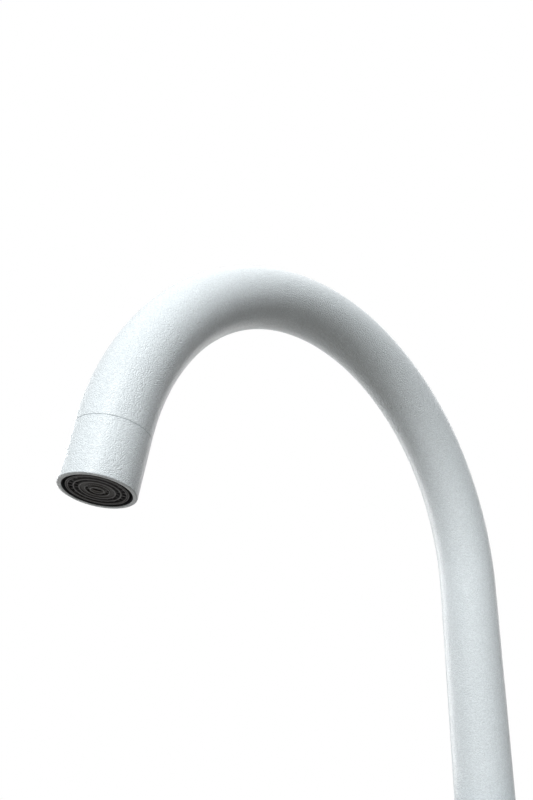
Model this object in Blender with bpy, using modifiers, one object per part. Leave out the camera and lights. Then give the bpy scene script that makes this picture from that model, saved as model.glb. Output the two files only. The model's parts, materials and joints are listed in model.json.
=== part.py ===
"""A single-lever kitchen mixer tap with a tall round-bend spout.

Metres, +Z up. The origin is the middle of the tap hole, on the worktop. The spout reaches
towards -Y and the lever stands on the +X side. The tap is drawn clamped to a worktop, with
the spout straight ahead, the lever upright and the water shut off.
"""

import math

import bmesh
import bpy
from mathutils import Vector

# Clearances
SEAT = 0.0003  # between two pieces that rest on each other
SLIDE = 0.0003  # between two round pieces that turn or slide in each other
BALL_GAP = 0.0006  # between the lever hub and the dome that it swings over

# Spout tube
TUBE_RADIUS = 0.0140
TUBE_WALL = 0.0015
BEND_RADIUS = 0.1140
BEND_SWEEP = math.radians(169.7)
BEND_START = 0.2200  # height above the worktop at which the tube starts to bend
TUBE_TAIL = 0.00045  # straight end of the tube, past the bend
TUBE_BORE = TUBE_RADIUS - TUBE_WALL

# Outlet: heights are measured from the mouth, up into the spout
COLLAR_LENGTH = 0.02225
COLLAR_WALL = 0.00165
COLLAR_LEDGE = 0.0110  # underside of the ledge that the aerator is screwed up against
LEDGE_THICKNESS = 0.0014
LEDGE_BORE = 0.0102
RIM_FILLET = 0.0005
NIPPLE_ENGAGEMENT = 0.0040  # how far the outlet nipple reaches into the tube
NIPPLE_BORE = 0.0096
SEAL_THICKNESS = 0.0010
AERATOR_RECESS = 0.0007  # of the aerator's housing inside the mouth
AERATOR_FACE_RECESS = 0.0005
AERATOR_FACE_RADIUS = 0.01105
AERATOR_FACE_THICKNESS = 0.0020
AERATOR_SKIRT = 0.0004  # wall of the aerator's housing round its face
AERATOR_CORE_RADIUS = 0.0106
DIFFUSER_HEIGHT = 0.0046
DIFFUSER_THICKNESS = 0.0014
REGULATOR_THICKNESS = 0.0018
REGULATOR_GROOVE = 0.0013
WASHER_THICKNESS = 0.0011
FILTER_DOME_HEIGHT = 0.0036
FILTER_WALL = 0.0004

# Rings of cells in the aerator's face: inner radius, outer radius, number of cells
CELL_RINGS = ((0.00858, 0.00998, 24), (0.00665, 0.00780, 20), (0.00310, 0.00412, 12))
CELL_WEB = 0.00055  # width of the spokes between cells
CORE_SLOT_LENGTH = 0.0030
CORE_SLOT_WIDTH = 0.0008

# Tap body
BODY_RADIUS = 0.0230
BODY_TOP = 0.1180
BODY_FILLET = 0.0015
BASE_RING_RADIUS = 0.0270
BASE_RING_HEIGHT = 0.0060
BASE_FILLET = 0.0020
SPIGOT_RADIUS = 0.0165  # of the spigot that centres the body in the tap hole
SPIGOT_DROP = 0.0020  # how far the spigot reaches below the worktop's surface
GASKET_INNER = 0.0210
GASKET_OUTER = 0.0252
GASKET_THICKNESS = 0.0020

# Swivel joint of the spout, from the top of the body downwards
SOCKET_DEPTH = 0.0180
RING_WALL = 0.0009
RING_FLANGE = 0.0016
RING_FLANGE_THICKNESS = 0.0008
WEAR_RING_THICKNESS = 0.0015
CONNECTOR_FLANGE = 0.0030
CONNECTOR_PLUG = 0.0120  # how far the connector reaches up into the tube
CONNECTOR_RADIUS = 0.0106
CONNECTOR_LENGTH = 0.0220
CONNECTOR_BORE = 0.0070
CONNECTOR_GROOVE = 0.0020  # depth of its grooves
ORING_CORD = 0.00090  # radius of the cord
ORING_GROOVE = 0.0026
UPPER_ORING_DROP = 0.0100
LOWER_ORING_DROP = 0.0165
SWIVEL_LIMIT = math.radians(75)
STOP_DROP = 0.0035  # of the stop screw below the socket's floor
STOP_SCREW_RADIUS = 0.0024
STOP_POINT_RADIUS = 0.0017
STOP_POINT_LENGTH = 0.0030
STOP_SCREW_LENGTH = 0.0090
STOP_SOCKET_RADIUS = 0.0013

# Cartridge: its axis runs along +X at this height, and places along it are X coordinates
CARTRIDGE_HEIGHT = 0.0520
SEAT_FACE = 0.0160
BOSS_RADIUS = 0.0190
BOSS_END = 0.0290
BOSS_FILLET = 0.0008
CARTRIDGE_RADIUS = 0.0127
CARTRIDGE_WALL = 0.0011
NUT_THREAD_RADIUS = 0.0150
NUT_THREAD_LENGTH = 0.0080
PORT_SEAL_THICKNESS = 0.0010
CARTRIDGE_BASE_THICKNESS = 0.0024
FIXED_DISC_RADIUS = 0.0112
FIXED_DISC_THICKNESS = 0.0027
SLIDING_DISC_RADIUS = 0.0096
SLIDING_DISC_THICKNESS = 0.0021
RECESS_DEPTH = 0.0011
RECESS_RADIUS = 0.0044
RECESS_TAIL = (0.0042, 0.0028)  # how far below the recess its narrower end is, and its radius
CARRIER_RADIUS = 0.0096
CARRIER_THICKNESS = 0.0043
DRIVER_FLANGE_RADIUS = 0.0112
DRIVER_FLANGE = 0.0018
DRIVER_BOSS_RADIUS = 0.0080
DRIVER_BOSS_LENGTH = 0.0067
TOP_WALL = 0.0014
NUT_FLANGE = 0.0022
PORT_RADIUS = 0.0020
INLET_PORT = (0.0036, 0.0048)  # above and beside the axis
OUTLET_PORT = 0.0058  # below the axis
LOCATING_PIN = (0.0040, 0.0087)  # below and beside the axis
LOCATING_PIN_RADIUS = 0.0012
LOCATING_PIN_LENGTH = 0.0018
RAIL_OFFSET = 0.0070
RAIL_WIDTH = 0.0018
RAIL_DEPTH = 0.0009
RAIL_LENGTH = 0.0080
LUG_WIDTH = 0.0028
LUG_DEPTH = 0.0014

# Waterways in the body
INLET_BACK = 0.0050  # of the inlets behind the tap's axis, away from the lever
INLET_SPREAD = 0.0085  # of each inlet from the middle plane
INLET_THREAD_RADIUS = 0.0046
INLET_THREAD_DEPTH = 0.0140
WATERWAY_RADIUS = 0.00205
RISER_RADIUS = 0.0035

# Lever
PIVOT = 0.0350  # X coordinate of the pin that the lever tilts about
DOME_RADIUS = 0.0170
DOME_WALL = 0.0016
DOME_OPENING = 0.0092
HUB_RADIUS = 0.0190
HUB_RIM = 0.0030  # from the pivot to the hub's open rim
HUB_END = 0.0260  # from the pivot to the hub's closed end
HUB_FILLET = 0.0030
STEM_TILT = math.radians(12.5)  # of the stem to the hub's axis
STEM_SIZE = 0.0065
STEM_REACH = 0.0235  # from the pivot to the stem's outer end
STEM_FOOT = 0.0034
STEM_TAIL_RADIUS = 0.0017
STEM_BALL_RADIUS = 0.0021
STEM_BALL_REACH = 0.0066  # from the pivot to the middle of the ball
STEM_PIN_RADIUS = 0.0015
ROD_RADIUS = 0.0045
ROD_TIP_RADIUS = 0.0038
ROD_LENGTH = 0.0850  # from the hub's axis to the tip
ROD_SOCKET = 0.0045  # depth of the rod's socket in the hub
ROD_PLACE = 0.0155  # from the pivot to the rod's axis
SET_SCREW_RADIUS = 0.0020
SET_SCREW_LENGTH = 0.0080
SET_SCREW_PLACE = 0.0205  # from the pivot to the set screw's axis
PLUG_LENGTH = 0.0040

# Fixing under the worktop
WORKTOP_THICKNESS = 0.0300
STUD_RADIUS = 0.0040
STUD_PLACE = 0.0095  # X coordinate of the stud
STUD_LENGTH = 0.0900
STUD_DEPTH = 0.0130  # of the stud in the body
CLAMP_RADIUS = 0.0240
CLAMP_GASKET_THICKNESS = 0.0020
CLAMP_PLATE_THICKNESS = 0.0020
CLAMP_SLOT_WIDTH = 0.0240  # for the two hoses
CLAMP_SLOT_END = 0.0020  # X coordinate at which the hose slot ends
NUT_ACROSS_CORNERS = 0.0150
NUT_HEIGHT = 0.0120

# Facets
ROUND = 24  # of the large turned pieces
SMALL_ROUND = 18
TINY_ROUND = 10
CORD_SIDES = 6
TUBE_SIDES = 20
BEND_STEPS = 22
LAST_STEP = math.radians(1)  # of the bend, so that the tube's end is square


# Scene and materials


def clear_scene():
    for obj in list(bpy.data.objects):
        bpy.data.objects.remove(obj, do_unlink=True)


def new_collection(name, hidden=False):
    collection = bpy.data.collections.new(name)
    collection.hide_render = hidden
    bpy.context.scene.collection.children.link(collection)
    return collection


def new_material(name, colour, roughness, metallic=0.0):
    material = bpy.data.materials.new(name)
    material.use_nodes = True
    shader = material.node_tree.nodes["Principled BSDF"]
    shader.inputs["Base Color"].default_value = (*colour, 1.0)
    shader.inputs["Roughness"].default_value = roughness
    shader.inputs["Metallic"].default_value = metallic
    material.diffuse_color = (*colour, 1.0)
    return material


def new_empty(name, location, tilt=0.0, axis="X", parent=None):
    empty = bpy.data.objects.new(name, None)
    TAP.objects.link(empty)
    empty.location = location
    empty.rotation_euler["XYZ".index(axis)] = tilt
    empty.parent = parent
    return empty


# Shapes


def fillet(middle_radius, middle_height, radius, start, end, steps=3):
    """Points of an arc in a turned profile. Angles are in degrees from the outward direction."""
    angles = [math.radians(start + (end - start) * i / steps) for i in range(steps + 1)]
    return [(middle_radius + radius * math.cos(a), middle_height + radius * math.sin(a)) for a in angles]


def sphere_arc(radius, from_height, to_height, steps=8):
    """Points of a ball's outline between two heights from its middle."""
    start, end = math.asin(from_height / radius), math.asin(to_height / radius)
    angles = [start + (end - start) * i / steps for i in range(steps + 1)]
    return [(radius * math.cos(a), radius * math.sin(a)) for a in angles]


def add_object(name, data, material=None, parent=None, collection=None):
    obj = bpy.data.objects.new(name, data)
    (collection or TAP).objects.link(obj)
    if material:
        data.materials.append(material)
    obj.parent = parent
    return obj


def turned(name, profile, material=None, parent=None, facets=SMALL_ROUND, angle=math.tau, collection=None):
    """A piece turned about its Z axis from (radius, height) points. A profile that starts and ends on
    the axis makes a solid piece, and any other profile is closed into a ring."""
    solid = profile[0][0] == 0 and profile[-1][0] == 0
    pairs = list(zip(profile, profile[1:] + profile[:1]))
    clockwise = sum(a[0] * b[1] - b[0] * a[1] for a, b in pairs) < 0
    points = profile if clockwise else profile[::-1]
    mesh = bpy.data.meshes.new(name)
    edges = [(i, i + 1) for i in range(len(points) - 1)]
    if not solid:
        edges.append((len(points) - 1, 0))
    mesh.from_pydata([(r, 0, z) for r, z in points], edges, [])
    obj = add_object(name, mesh, material, parent, collection)
    screw = obj.modifiers.new("Turn", "SCREW")
    screw.angle = angle
    screw.steps = screw.render_steps = facets
    screw.use_merge_vertices = True
    screw.merge_threshold = 0.00001
    screw.use_smooth_shade = True
    return obj


def ring(name, inner, outer, low, high, material, parent=None, facets=SMALL_ROUND):
    profile = [(outer, high), (outer, low), (inner, low), (inner, high)]
    return turned(name, profile, material, parent, facets)


def finish_mesh(name, shape, material=None, parent=None, collection=None):
    mesh = bpy.data.meshes.new(name)
    bmesh.ops.recalc_face_normals(shape, faces=shape.faces)
    shape.to_mesh(mesh)
    shape.free()
    return add_object(name, mesh, material, parent, collection)


def bar(name, start, end, radius, parent=None, facets=TINY_ROUND, end_radius=None, collection=None, material=None):
    """A round bar between two points."""
    start, end = Vector(start), Vector(end)
    shape = bmesh.new()
    bmesh.ops.create_cone(
        shape,
        cap_ends=True,
        segments=facets,
        radius1=radius,
        radius2=radius if end_radius is None else end_radius,
        depth=(end - start).length,
    )
    turn = (end - start).to_track_quat("Z", "Y").to_matrix().to_4x4()
    turn.translation = (start + end) / 2
    bmesh.ops.transform(shape, matrix=turn, verts=shape.verts)
    return finish_mesh(name, shape, material, parent, collection)


def block(name, low, high, parent=None, collection=None):
    low, high = Vector(low), Vector(high)
    shape = bmesh.new()
    bmesh.ops.create_cube(shape, size=1)
    bmesh.ops.scale(shape, vec=high - low, verts=shape.verts)
    bmesh.ops.translate(shape, vec=(low + high) / 2, verts=shape.verts)
    return finish_mesh(name, shape, None, parent, collection)


def ball(name, middle, radius, parent=None, collection=None):
    shape = bmesh.new()
    bmesh.ops.create_uvsphere(shape, u_segments=TINY_ROUND, v_segments=8, radius=radius)
    bmesh.ops.translate(shape, vec=Vector(middle), verts=shape.verts)
    return finish_mesh(name, shape, None, parent, collection)


def circle_points(radius, facets, middle=(0, 0)):
    angles = [math.tau * i / facets for i in range(facets)]
    return [(middle[0] + radius * math.cos(a), middle[1] + radius * math.sin(a)) for a in angles]


def plate(name, outlines, low, high, material, parent=None):
    """A flat piece: the first outline is its edge and the others are holes through it."""
    curve = bpy.data.curves.new(name, "CURVE")
    curve.dimensions = "2D"
    curve.fill_mode = "BOTH"
    curve.extrude = (high - low) / 2
    for outline in outlines:
        spline = curve.splines.new("POLY")
        spline.points.add(len(outline) - 1)
        for point, (x, y) in zip(spline.points, outline):
            point.co = (x, y, 0, 1)
        spline.use_cyclic_u = True
    obj = as_mesh(add_object(name, curve, material, parent))
    for vertex in obj.data.vertices:
        vertex.co.z += (low + high) / 2
    return obj


def as_mesh(obj):
    """Turns a curve into a mesh with the same name and place."""
    name, parent, place = obj.name, obj.parent, obj.matrix_basis.copy()
    bpy.context.view_layer.update()
    graph = bpy.context.evaluated_depsgraph_get()
    mesh = bpy.data.meshes.new_from_object(obj.evaluated_get(graph))
    bpy.data.objects.remove(obj, do_unlink=True)
    shape = bmesh.new()
    shape.from_mesh(mesh)
    bmesh.ops.remove_doubles(shape, verts=shape.verts, dist=0.000002)
    bmesh.ops.recalc_face_normals(shape, faces=shape.faces)
    shape.to_mesh(mesh)
    shape.free()
    made = add_object(name, mesh, None, parent)
    made.matrix_basis = place
    return made


def combine(target, other, operation):
    """Joins another shape to the target, or cuts it away."""
    for old in other.users_collection:
        old.objects.unlink(other)
    CUTTERS.objects.link(other)
    other.hide_render = True
    other.display_type = "WIRE"
    modifier = target.modifiers.new(other.name, "BOOLEAN")
    modifier.operation = operation
    modifier.object = other
    modifier.solver = "EXACT"


def cut(target, *others):
    for other in others:
        combine(target, other, "DIFFERENCE")


def join(target, *others):
    for other in others:
        combine(target, other, "UNION")


def smooth(obj, degrees=35):
    obj.data.shade_smooth()
    obj.data.set_sharp_from_angle(angle=math.radians(degrees))


# Spout


def socket_floor():
    return BODY_TOP - SOCKET_DEPTH


def tube_end_height():
    """Height of the tube's lower end, which stands on the connector's flange."""
    return socket_floor() + WEAR_RING_THICKNESS + CONNECTOR_FLANGE + 3 * SEAT


def bend_point(angle):
    """A point of the tube's centreline, and its direction there."""
    point = Vector((0, BEND_RADIUS * (math.cos(angle) - 1), BEND_START + BEND_RADIUS * math.sin(angle)))
    return point, Vector((0, -math.sin(angle), math.cos(angle)))


def spout_tube():
    last, direction = bend_point(BEND_SWEEP)
    angles = [BEND_SWEEP * i / BEND_STEPS for i in range(BEND_STEPS)]
    angles += [BEND_SWEEP - LAST_STEP, BEND_SWEEP]
    path = [Vector((0, 0, tube_end_height())), *[bend_point(a)[0] for a in angles], last + direction * TUBE_TAIL]
    curve = bpy.data.curves.new("spout_tube", "CURVE")
    curve.dimensions = "3D"
    curve.fill_mode = "FULL"
    curve.bevel_depth = TUBE_RADIUS
    curve.bevel_resolution = (TUBE_SIDES - 4) // 2
    spline = curve.splines.new("POLY")
    spline.points.add(len(path) - 1)
    for point, place in zip(spline.points, path):
        point.co = (*place, 1)
    tube = as_mesh(add_object("spout_tube", curve, COATING, SPOUT_AXIS))
    wall = tube.modifiers.new("Wall", "SOLIDIFY")
    wall.thickness = TUBE_WALL
    wall.offset = -1
    wall.use_even_offset = True
    smooth(tube)


def connector_profile():
    floor = socket_floor()
    flange_low = floor + WEAR_RING_THICKNESS + 2 * SEAT
    flange_high = flange_low + CONNECTOR_FLANGE
    plug_radius = TUBE_BORE - SEAT
    foot = floor - CONNECTOR_LENGTH
    outer = [
        (plug_radius, flange_high + CONNECTOR_PLUG),
        (plug_radius, flange_high),
        (TUBE_RADIUS, flange_high),
        (TUBE_RADIUS, flange_low),
        (CONNECTOR_RADIUS, flange_low),
    ]
    for drop in (UPPER_ORING_DROP, LOWER_ORING_DROP):
        top, bottom = floor - drop + ORING_GROOVE / 2, floor - drop - ORING_GROOVE / 2
        root = CONNECTOR_RADIUS - CONNECTOR_GROOVE
        outer += [(CONNECTOR_RADIUS, top), (root, top), (root, bottom), (CONNECTOR_RADIUS, bottom)]
    inner = [(CONNECTOR_RADIUS, foot), (CONNECTOR_BORE, foot), (CONNECTOR_BORE, flange_high + CONNECTOR_PLUG)]
    return outer + inner


def spout_connector():
    """The turned piece on which the spout swivels. Its stop groove is an arc that ends where the
    swivel's travel ends."""
    connector = turned("spout_connector", connector_profile(), BRASS, SPOUT_AXIS, ROUND)
    middle = socket_floor() - STOP_DROP
    root = CONNECTOR_RADIUS - CONNECTOR_GROOVE
    half_height = STOP_POINT_RADIUS + SLIDE
    point_angle = math.asin((STOP_POINT_RADIUS + SLIDE) / root)
    half_arc = SWIVEL_LIMIT + point_angle
    outer = CONNECTOR_RADIUS + 2 * CONNECTOR_GROOVE
    groove_profile = [
        (outer, middle + half_height),
        (outer, middle - half_height),
        (root, middle - half_height),
        (root, middle + half_height),
    ]
    groove = swept_ring("stop_groove", groove_profile, math.pi / 2 - half_arc, 2 * half_arc, ROUND // 2)
    cut(connector, groove)


def swept_ring(name, profile, start, angle, steps):
    """A closed ring sector: a flat face spun about the Z axis."""
    shape = bmesh.new()
    corners = [shape.verts.new((r * math.cos(start), r * math.sin(start), z)) for r, z in profile]
    face = shape.faces.new(corners)
    geometry = [face, *face.edges, *face.verts]
    bmesh.ops.spin(shape, geom=geometry, cent=(0, 0, 0), axis=(0, 0, 1), angle=angle, steps=steps, use_merge=False)
    bmesh.ops.remove_doubles(shape, verts=shape.verts, dist=0.000001)
    return finish_mesh(name, shape)


def oring(name, ring_radius, cord, height, parent):
    profile = [(ring_radius + r, height + z) for r, z in circle_points(cord, CORD_SIDES)]
    turned(name, profile, RUBBER, parent)


def swivel_pieces():
    floor = socket_floor()
    groove_root = CONNECTOR_RADIUS - CONNECTOR_GROOVE
    bore = CONNECTOR_RADIUS + SLIDE
    middle = (groove_root + bore) / 2
    for name, drop in (("spout_oring_upper", UPPER_ORING_DROP), ("spout_oring_lower", LOWER_ORING_DROP)):
        oring(name, middle, ORING_CORD, floor - drop, SPOUT_AXIS)
    inner = TUBE_RADIUS + SLIDE
    outer = inner + RING_WALL
    foot = floor + 2 * SEAT + WEAR_RING_THICKNESS + CONNECTOR_FLANGE
    top = BODY_TOP + SEAT + RING_FLANGE_THICKNESS
    guide = [
        (inner, top),
        (outer + RING_FLANGE, top),
        (outer + RING_FLANGE, BODY_TOP + SEAT),
        (outer, BODY_TOP + SEAT),
        (outer, foot),
        (inner, foot),
    ]
    turned("spout_guide_ring", guide, BLACK_PLASTIC, None, ROUND)
    low = floor + SEAT
    ring("spout_wear_ring", CONNECTOR_RADIUS + SLIDE, TUBE_RADIUS, low, low + WEAR_RING_THICKNESS, BLACK_PLASTIC, None, ROUND)


def stop_screw():
    """The grub screw at the back of the body. Its point runs in the connector's stop groove."""
    height = socket_floor() - STOP_DROP
    tip = CONNECTOR_RADIUS - CONNECTOR_GROOVE + SLIDE
    shoulder = tip + STOP_POINT_LENGTH
    end = shoulder + STOP_SCREW_LENGTH
    profile = [
        (0, end),
        (STOP_SCREW_RADIUS, end),
        (STOP_SCREW_RADIUS, shoulder),
        (STOP_POINT_RADIUS, shoulder),
        (STOP_POINT_RADIUS, tip),
        (0, tip),
    ]
    axis = new_empty("stop_screw_axis", (0, 0, height), -math.pi / 2)
    screw = turned("swivel_stop_screw", profile, STEEL, axis, TINY_ROUND)
    cut(screw, bar("stop_screw_hex", (0, 0, end - 0.0025), (0, 0, end + 0.001), STOP_SOCKET_RADIUS, axis, 6))


# Outlet and aerator


def outlet_collar():
    bore = TUBE_RADIUS - COLLAR_WALL
    ledge_top = COLLAR_LEDGE + LEDGE_THICKNESS
    rim = fillet(TUBE_RADIUS - RIM_FILLET, RIM_FILLET, RIM_FILLET, 0, -90, 2)
    rim += fillet(bore + RIM_FILLET, RIM_FILLET, RIM_FILLET, -90, -180, 2)
    profile = [(TUBE_RADIUS, COLLAR_LENGTH), *rim]
    profile += [(bore, COLLAR_LEDGE), (LEDGE_BORE, COLLAR_LEDGE), (LEDGE_BORE, ledge_top)]
    profile += [(bore, ledge_top), (bore, COLLAR_LENGTH)]
    turned("outlet_collar", profile, COATING, MOUTH, ROUND)


def outlet_nipple():
    """The threaded bush in the tube's end, on which the collar is screwed."""
    seal_low = COLLAR_LEDGE + LEDGE_THICKNESS + SEAT
    foot = seal_low + SEAL_THICKNESS + SEAT
    tube_end = COLLAR_LENGTH + SEAT
    thread = TUBE_RADIUS - COLLAR_WALL - SEAT
    plug = min(TUBE_BORE - SEAT, thread)
    profile = [
        (plug, tube_end + NIPPLE_ENGAGEMENT),
        (plug, tube_end),
        (thread, tube_end),
        (thread, foot),
        (NIPPLE_BORE, foot),
        (NIPPLE_BORE, tube_end + NIPPLE_ENGAGEMENT),
    ]
    turned("outlet_nipple", profile, BRASS, MOUTH, ROUND)
    ring("collar_seal", LEDGE_BORE, thread, seal_low, seal_low + SEAL_THICKNESS, RUBBER, MOUTH)


def cell_outline(inner, outer, middle, half_step):
    """One cell of the aerator's face, between two spokes with parallel sides."""
    points = []
    for radius, signs in ((outer, (-1, 1)), (inner, (1, -1))):
        reach = half_step - math.asin(CELL_WEB / 2 / radius)
        points += [(radius * math.cos(middle + s * reach), radius * math.sin(middle + s * reach)) for s in signs]
    return points


def aerator_face():
    outlines = [circle_points(AERATOR_FACE_RADIUS, ROUND)]
    for inner, outer, count in CELL_RINGS:
        half_step = math.pi / count
        outlines += [cell_outline(inner, outer, 2 * half_step * i, half_step) for i in range(count)]
    x, y = CORE_SLOT_LENGTH / 2, CORE_SLOT_WIDTH / 2
    outlines.append([(x, y), (-x, y), (-x, -y), (x, -y)])
    low = AERATOR_FACE_RECESS
    plate("aerator_face", outlines, low, low + AERATOR_FACE_THICKNESS, GREY_PLASTIC, MOUTH)


def aerator():
    aerator_face()
    outer = TUBE_RADIUS - COLLAR_WALL - SEAT
    skirt = outer - AERATOR_SKIRT
    shoulder = AERATOR_FACE_RECESS + AERATOR_FACE_THICKNESS + SEAT
    washer_high = COLLAR_LEDGE - SEAT
    housing_high = washer_high - WASHER_THICKNESS - SEAT
    housing = [
        (outer, housing_high),
        (outer, AERATOR_RECESS),
        (skirt, AERATOR_RECESS),
        (skirt, shoulder),
        (AERATOR_CORE_RADIUS, shoulder),
        (AERATOR_CORE_RADIUS, housing_high),
    ]
    turned("aerator_housing", housing, BLACK_PLASTIC, MOUTH, ROUND)
    core = AERATOR_CORE_RADIUS - SEAT
    holes = [circle_points(0.0005, 6, c) for c in circle_points(0.0078, 10) + circle_points(0.0046, 6)]
    low = DIFFUSER_HEIGHT
    high = low + DIFFUSER_THICKNESS
    plate("aerator_diffuser", [circle_points(core, SMALL_ROUND), *holes], low, high, GREY_PLASTIC, MOUTH)
    low = high + SEAT
    high = low + REGULATOR_THICKNESS
    cord = (REGULATOR_GROOVE - SEAT) / 2
    groove_middle = core * 0.64
    groove_root, groove_edge = groove_middle - cord - SEAT, groove_middle + cord + SEAT
    regulator = [
        (core, high),
        (core, low),
        (core * 0.3, low),
        (core * 0.3, high),
        (groove_root, high),
        (groove_root, high - REGULATOR_GROOVE),
        (groove_edge, high - REGULATOR_GROOVE),
        (groove_edge, high),
    ]
    turned("flow_regulator", regulator, GREY_PLASTIC, MOUTH)
    oring("regulator_oring", groove_middle, cord, high - cord, MOUTH)
    base = high + SEAT
    throat = min(LEDGE_BORE, AERATOR_CORE_RADIUS) - 0.0016
    dome_radius = (throat**2 + FILTER_DOME_HEIGHT**2) / (2 * FILTER_DOME_HEIGHT)
    middle = base + FILTER_WALL + FILTER_DOME_HEIGHT - dome_radius
    filter_screen = [(0, base + FILTER_WALL + FILTER_DOME_HEIGHT)]
    filter_screen += dome_points(dome_radius, middle, throat, 4)
    filter_screen += [(core, base + FILTER_WALL), (core, base), (throat - FILTER_WALL, base)]
    filter_screen += dome_points(dome_radius - FILTER_WALL, middle, throat - FILTER_WALL, 4)[-2::-1]
    filter_screen.append((0, base + FILTER_DOME_HEIGHT))
    turned("filter_screen", filter_screen, STEEL, MOUTH)
    low = washer_high - WASHER_THICKNESS
    ring("aerator_washer", throat + SEAT + 0.0003, outer, low, washer_high, RUBBER, MOUTH)


def dome_points(radius, middle, throat, steps):
    """Points down the outline of a shallow dome, from near its top to its edge."""
    end = math.asin(throat / radius)
    angles = [end * (i + 1) / steps for i in range(steps)]
    return [(radius * math.sin(a), middle + radius * math.cos(a)) for a in angles]


# Body


def tap_body():
    under = BASE_RING_HEIGHT + SEAT
    top = fillet(BODY_RADIUS - BODY_FILLET, BODY_TOP - BODY_FILLET, BODY_FILLET, 90, 0)
    outline = [(0, BODY_TOP), *top, (BODY_RADIUS, under), (SPIGOT_RADIUS, under)]
    outline += [(SPIGOT_RADIUS, -SPIGOT_DROP), (0, -SPIGOT_DROP)]
    body = turned("tap_body", outline, COATING, None, ROUND)
    boss_edge = fillet(BOSS_RADIUS - BOSS_FILLET, BOSS_END - BOSS_FILLET, BOSS_FILLET, 90, 0, 2)
    boss = turned("side_boss", [(0, BOSS_END), *boss_edge, (BOSS_RADIUS, 0), (0, 0)], None, CARTRIDGE_AXIS, ROUND)
    join(body, boss)
    cut_swivel_socket(body)
    cut_cartridge_pocket(body)
    cut_waterways(body)
    cut(body, bar("stud_hole", (STUD_PLACE, 0, -1), (STUD_PLACE, 0, STUD_DEPTH), STUD_RADIUS + SEAT, None, SMALL_ROUND))


def cut_swivel_socket(body):
    floor = socket_floor()
    socket = TUBE_RADIUS + 2 * SLIDE + RING_WALL
    bore_end = floor - CONNECTOR_LENGTH - 2 * SEAT
    above = BODY_TOP + 0.01
    profile = [
        (0, above),
        (socket, above),
        (socket, floor),
        (CONNECTOR_RADIUS + SLIDE, floor),
        (CONNECTOR_RADIUS + SLIDE, bore_end),
        (0, bore_end),
    ]
    cut(body, turned("swivel_socket", profile, None, None, ROUND))
    height = floor - STOP_DROP
    inside = (0, CONNECTOR_RADIUS / 2, height)
    cut(body, bar("stop_screw_hole", inside, (0, BODY_RADIUS + 0.01, height), STOP_SCREW_RADIUS + SEAT, None, TINY_ROUND))


def cut_cartridge_pocket(body):
    beyond = BOSS_END + 0.01
    pocket = CARTRIDGE_RADIUS + SEAT
    thread = NUT_THREAD_RADIUS + SEAT
    thread_start = BOSS_END - NUT_THREAD_LENGTH
    profile = [
        (0, beyond),
        (thread, beyond),
        (thread, thread_start),
        (pocket, thread_start),
        (pocket, SEAT_FACE),
        (0, SEAT_FACE),
    ]
    cut(body, turned("cartridge_pocket", profile, None, CARTRIDGE_AXIS, ROUND))
    below, beside = LOCATING_PIN
    for side in (-1, 1):
        start = (below, side * beside, SEAT_FACE - LOCATING_PIN_LENGTH)
        end = (below, side * beside, SEAT_FACE + 0.002)
        cut(body, bar("locating_hole", start, end, LOCATING_PIN_RADIUS + SEAT, CARTRIDGE_AXIS))


def cut_waterways(body):
    """Each inlet rises from its threaded port and turns into the cartridge's seat. The mixed water
    leaves the seat below them and rises between them to the spout."""
    above, beside = INLET_PORT
    port_height = CARTRIDGE_HEIGHT + above
    inside = SEAT_FACE + 0.002
    for side in (-1, 1):
        foot = (-INLET_BACK, side * INLET_SPREAD, -SPIGOT_DROP - 0.002)
        thread_end = (foot[0], foot[1], INLET_THREAD_DEPTH - SPIGOT_DROP)
        cut(body, bar("inlet_thread", foot, thread_end, INLET_THREAD_RADIUS, None, SMALL_ROUND))
        top = (foot[0], foot[1], port_height + WATERWAY_RADIUS)
        cut(body, bar("inlet_riser", (foot[0], foot[1], 0), top, WATERWAY_RADIUS))
        start = (-INLET_BACK - WATERWAY_RADIUS / 2, side * INLET_SPREAD, port_height)
        cut(body, bar("inlet_crossway", start, (inside, side * beside, port_height), WATERWAY_RADIUS * 0.98))
    outlet_height = CARTRIDGE_HEIGHT - OUTLET_PORT
    bore_end = socket_floor() - CONNECTOR_LENGTH
    riser_foot = (0, 0, outlet_height - RISER_RADIUS)
    cut(body, bar("mixed_riser", riser_foot, (0, 0, bore_end + 0.002), RISER_RADIUS))
    cut(body, bar("mixed_crossway", (0, 0, outlet_height), (inside, 0, outlet_height), WATERWAY_RADIUS))


def base_pieces():
    edge = fillet(BASE_RING_RADIUS - BASE_FILLET, BASE_RING_HEIGHT - BASE_FILLET, BASE_FILLET, 90, 0)
    bore = SPIGOT_RADIUS + SEAT
    profile = [*edge, (BASE_RING_RADIUS, 0), (GASKET_OUTER, 0), (GASKET_OUTER, GASKET_THICKNESS)]
    profile += [(GASKET_INNER, GASKET_THICKNESS), (GASKET_INNER, 0), (bore, 0), (bore, BASE_RING_HEIGHT)]
    turned("base_ring", profile, COATING, None, ROUND)
    inner, outer = GASKET_INNER + SEAT, GASKET_OUTER - SEAT
    ring("base_gasket", inner, outer, 0, GASKET_THICKNESS - SEAT, RUBBER, None, ROUND)


# Cartridge, along its own axis


def stack():
    """Where each piece of the cartridge starts along its axis, from the seat outwards."""
    places = {"seal": SEAT_FACE + SEAT}
    places["base"] = places["seal"] + PORT_SEAL_THICKNESS + SEAT
    places["fixed_disc"] = places["base"] + CARTRIDGE_BASE_THICKNESS + SEAT
    places["sliding_disc"] = places["fixed_disc"] + FIXED_DISC_THICKNESS + SEAT
    places["carrier"] = places["sliding_disc"] + SLIDING_DISC_THICKNESS + SEAT
    places["driver"] = places["carrier"] + CARRIER_THICKNESS + 0.0002 + SEAT
    places["top_wall"] = places["driver"] + DRIVER_FLANGE + SEAT
    places["nut_flange"] = places["top_wall"] + TOP_WALL + SEAT
    return places


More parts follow.
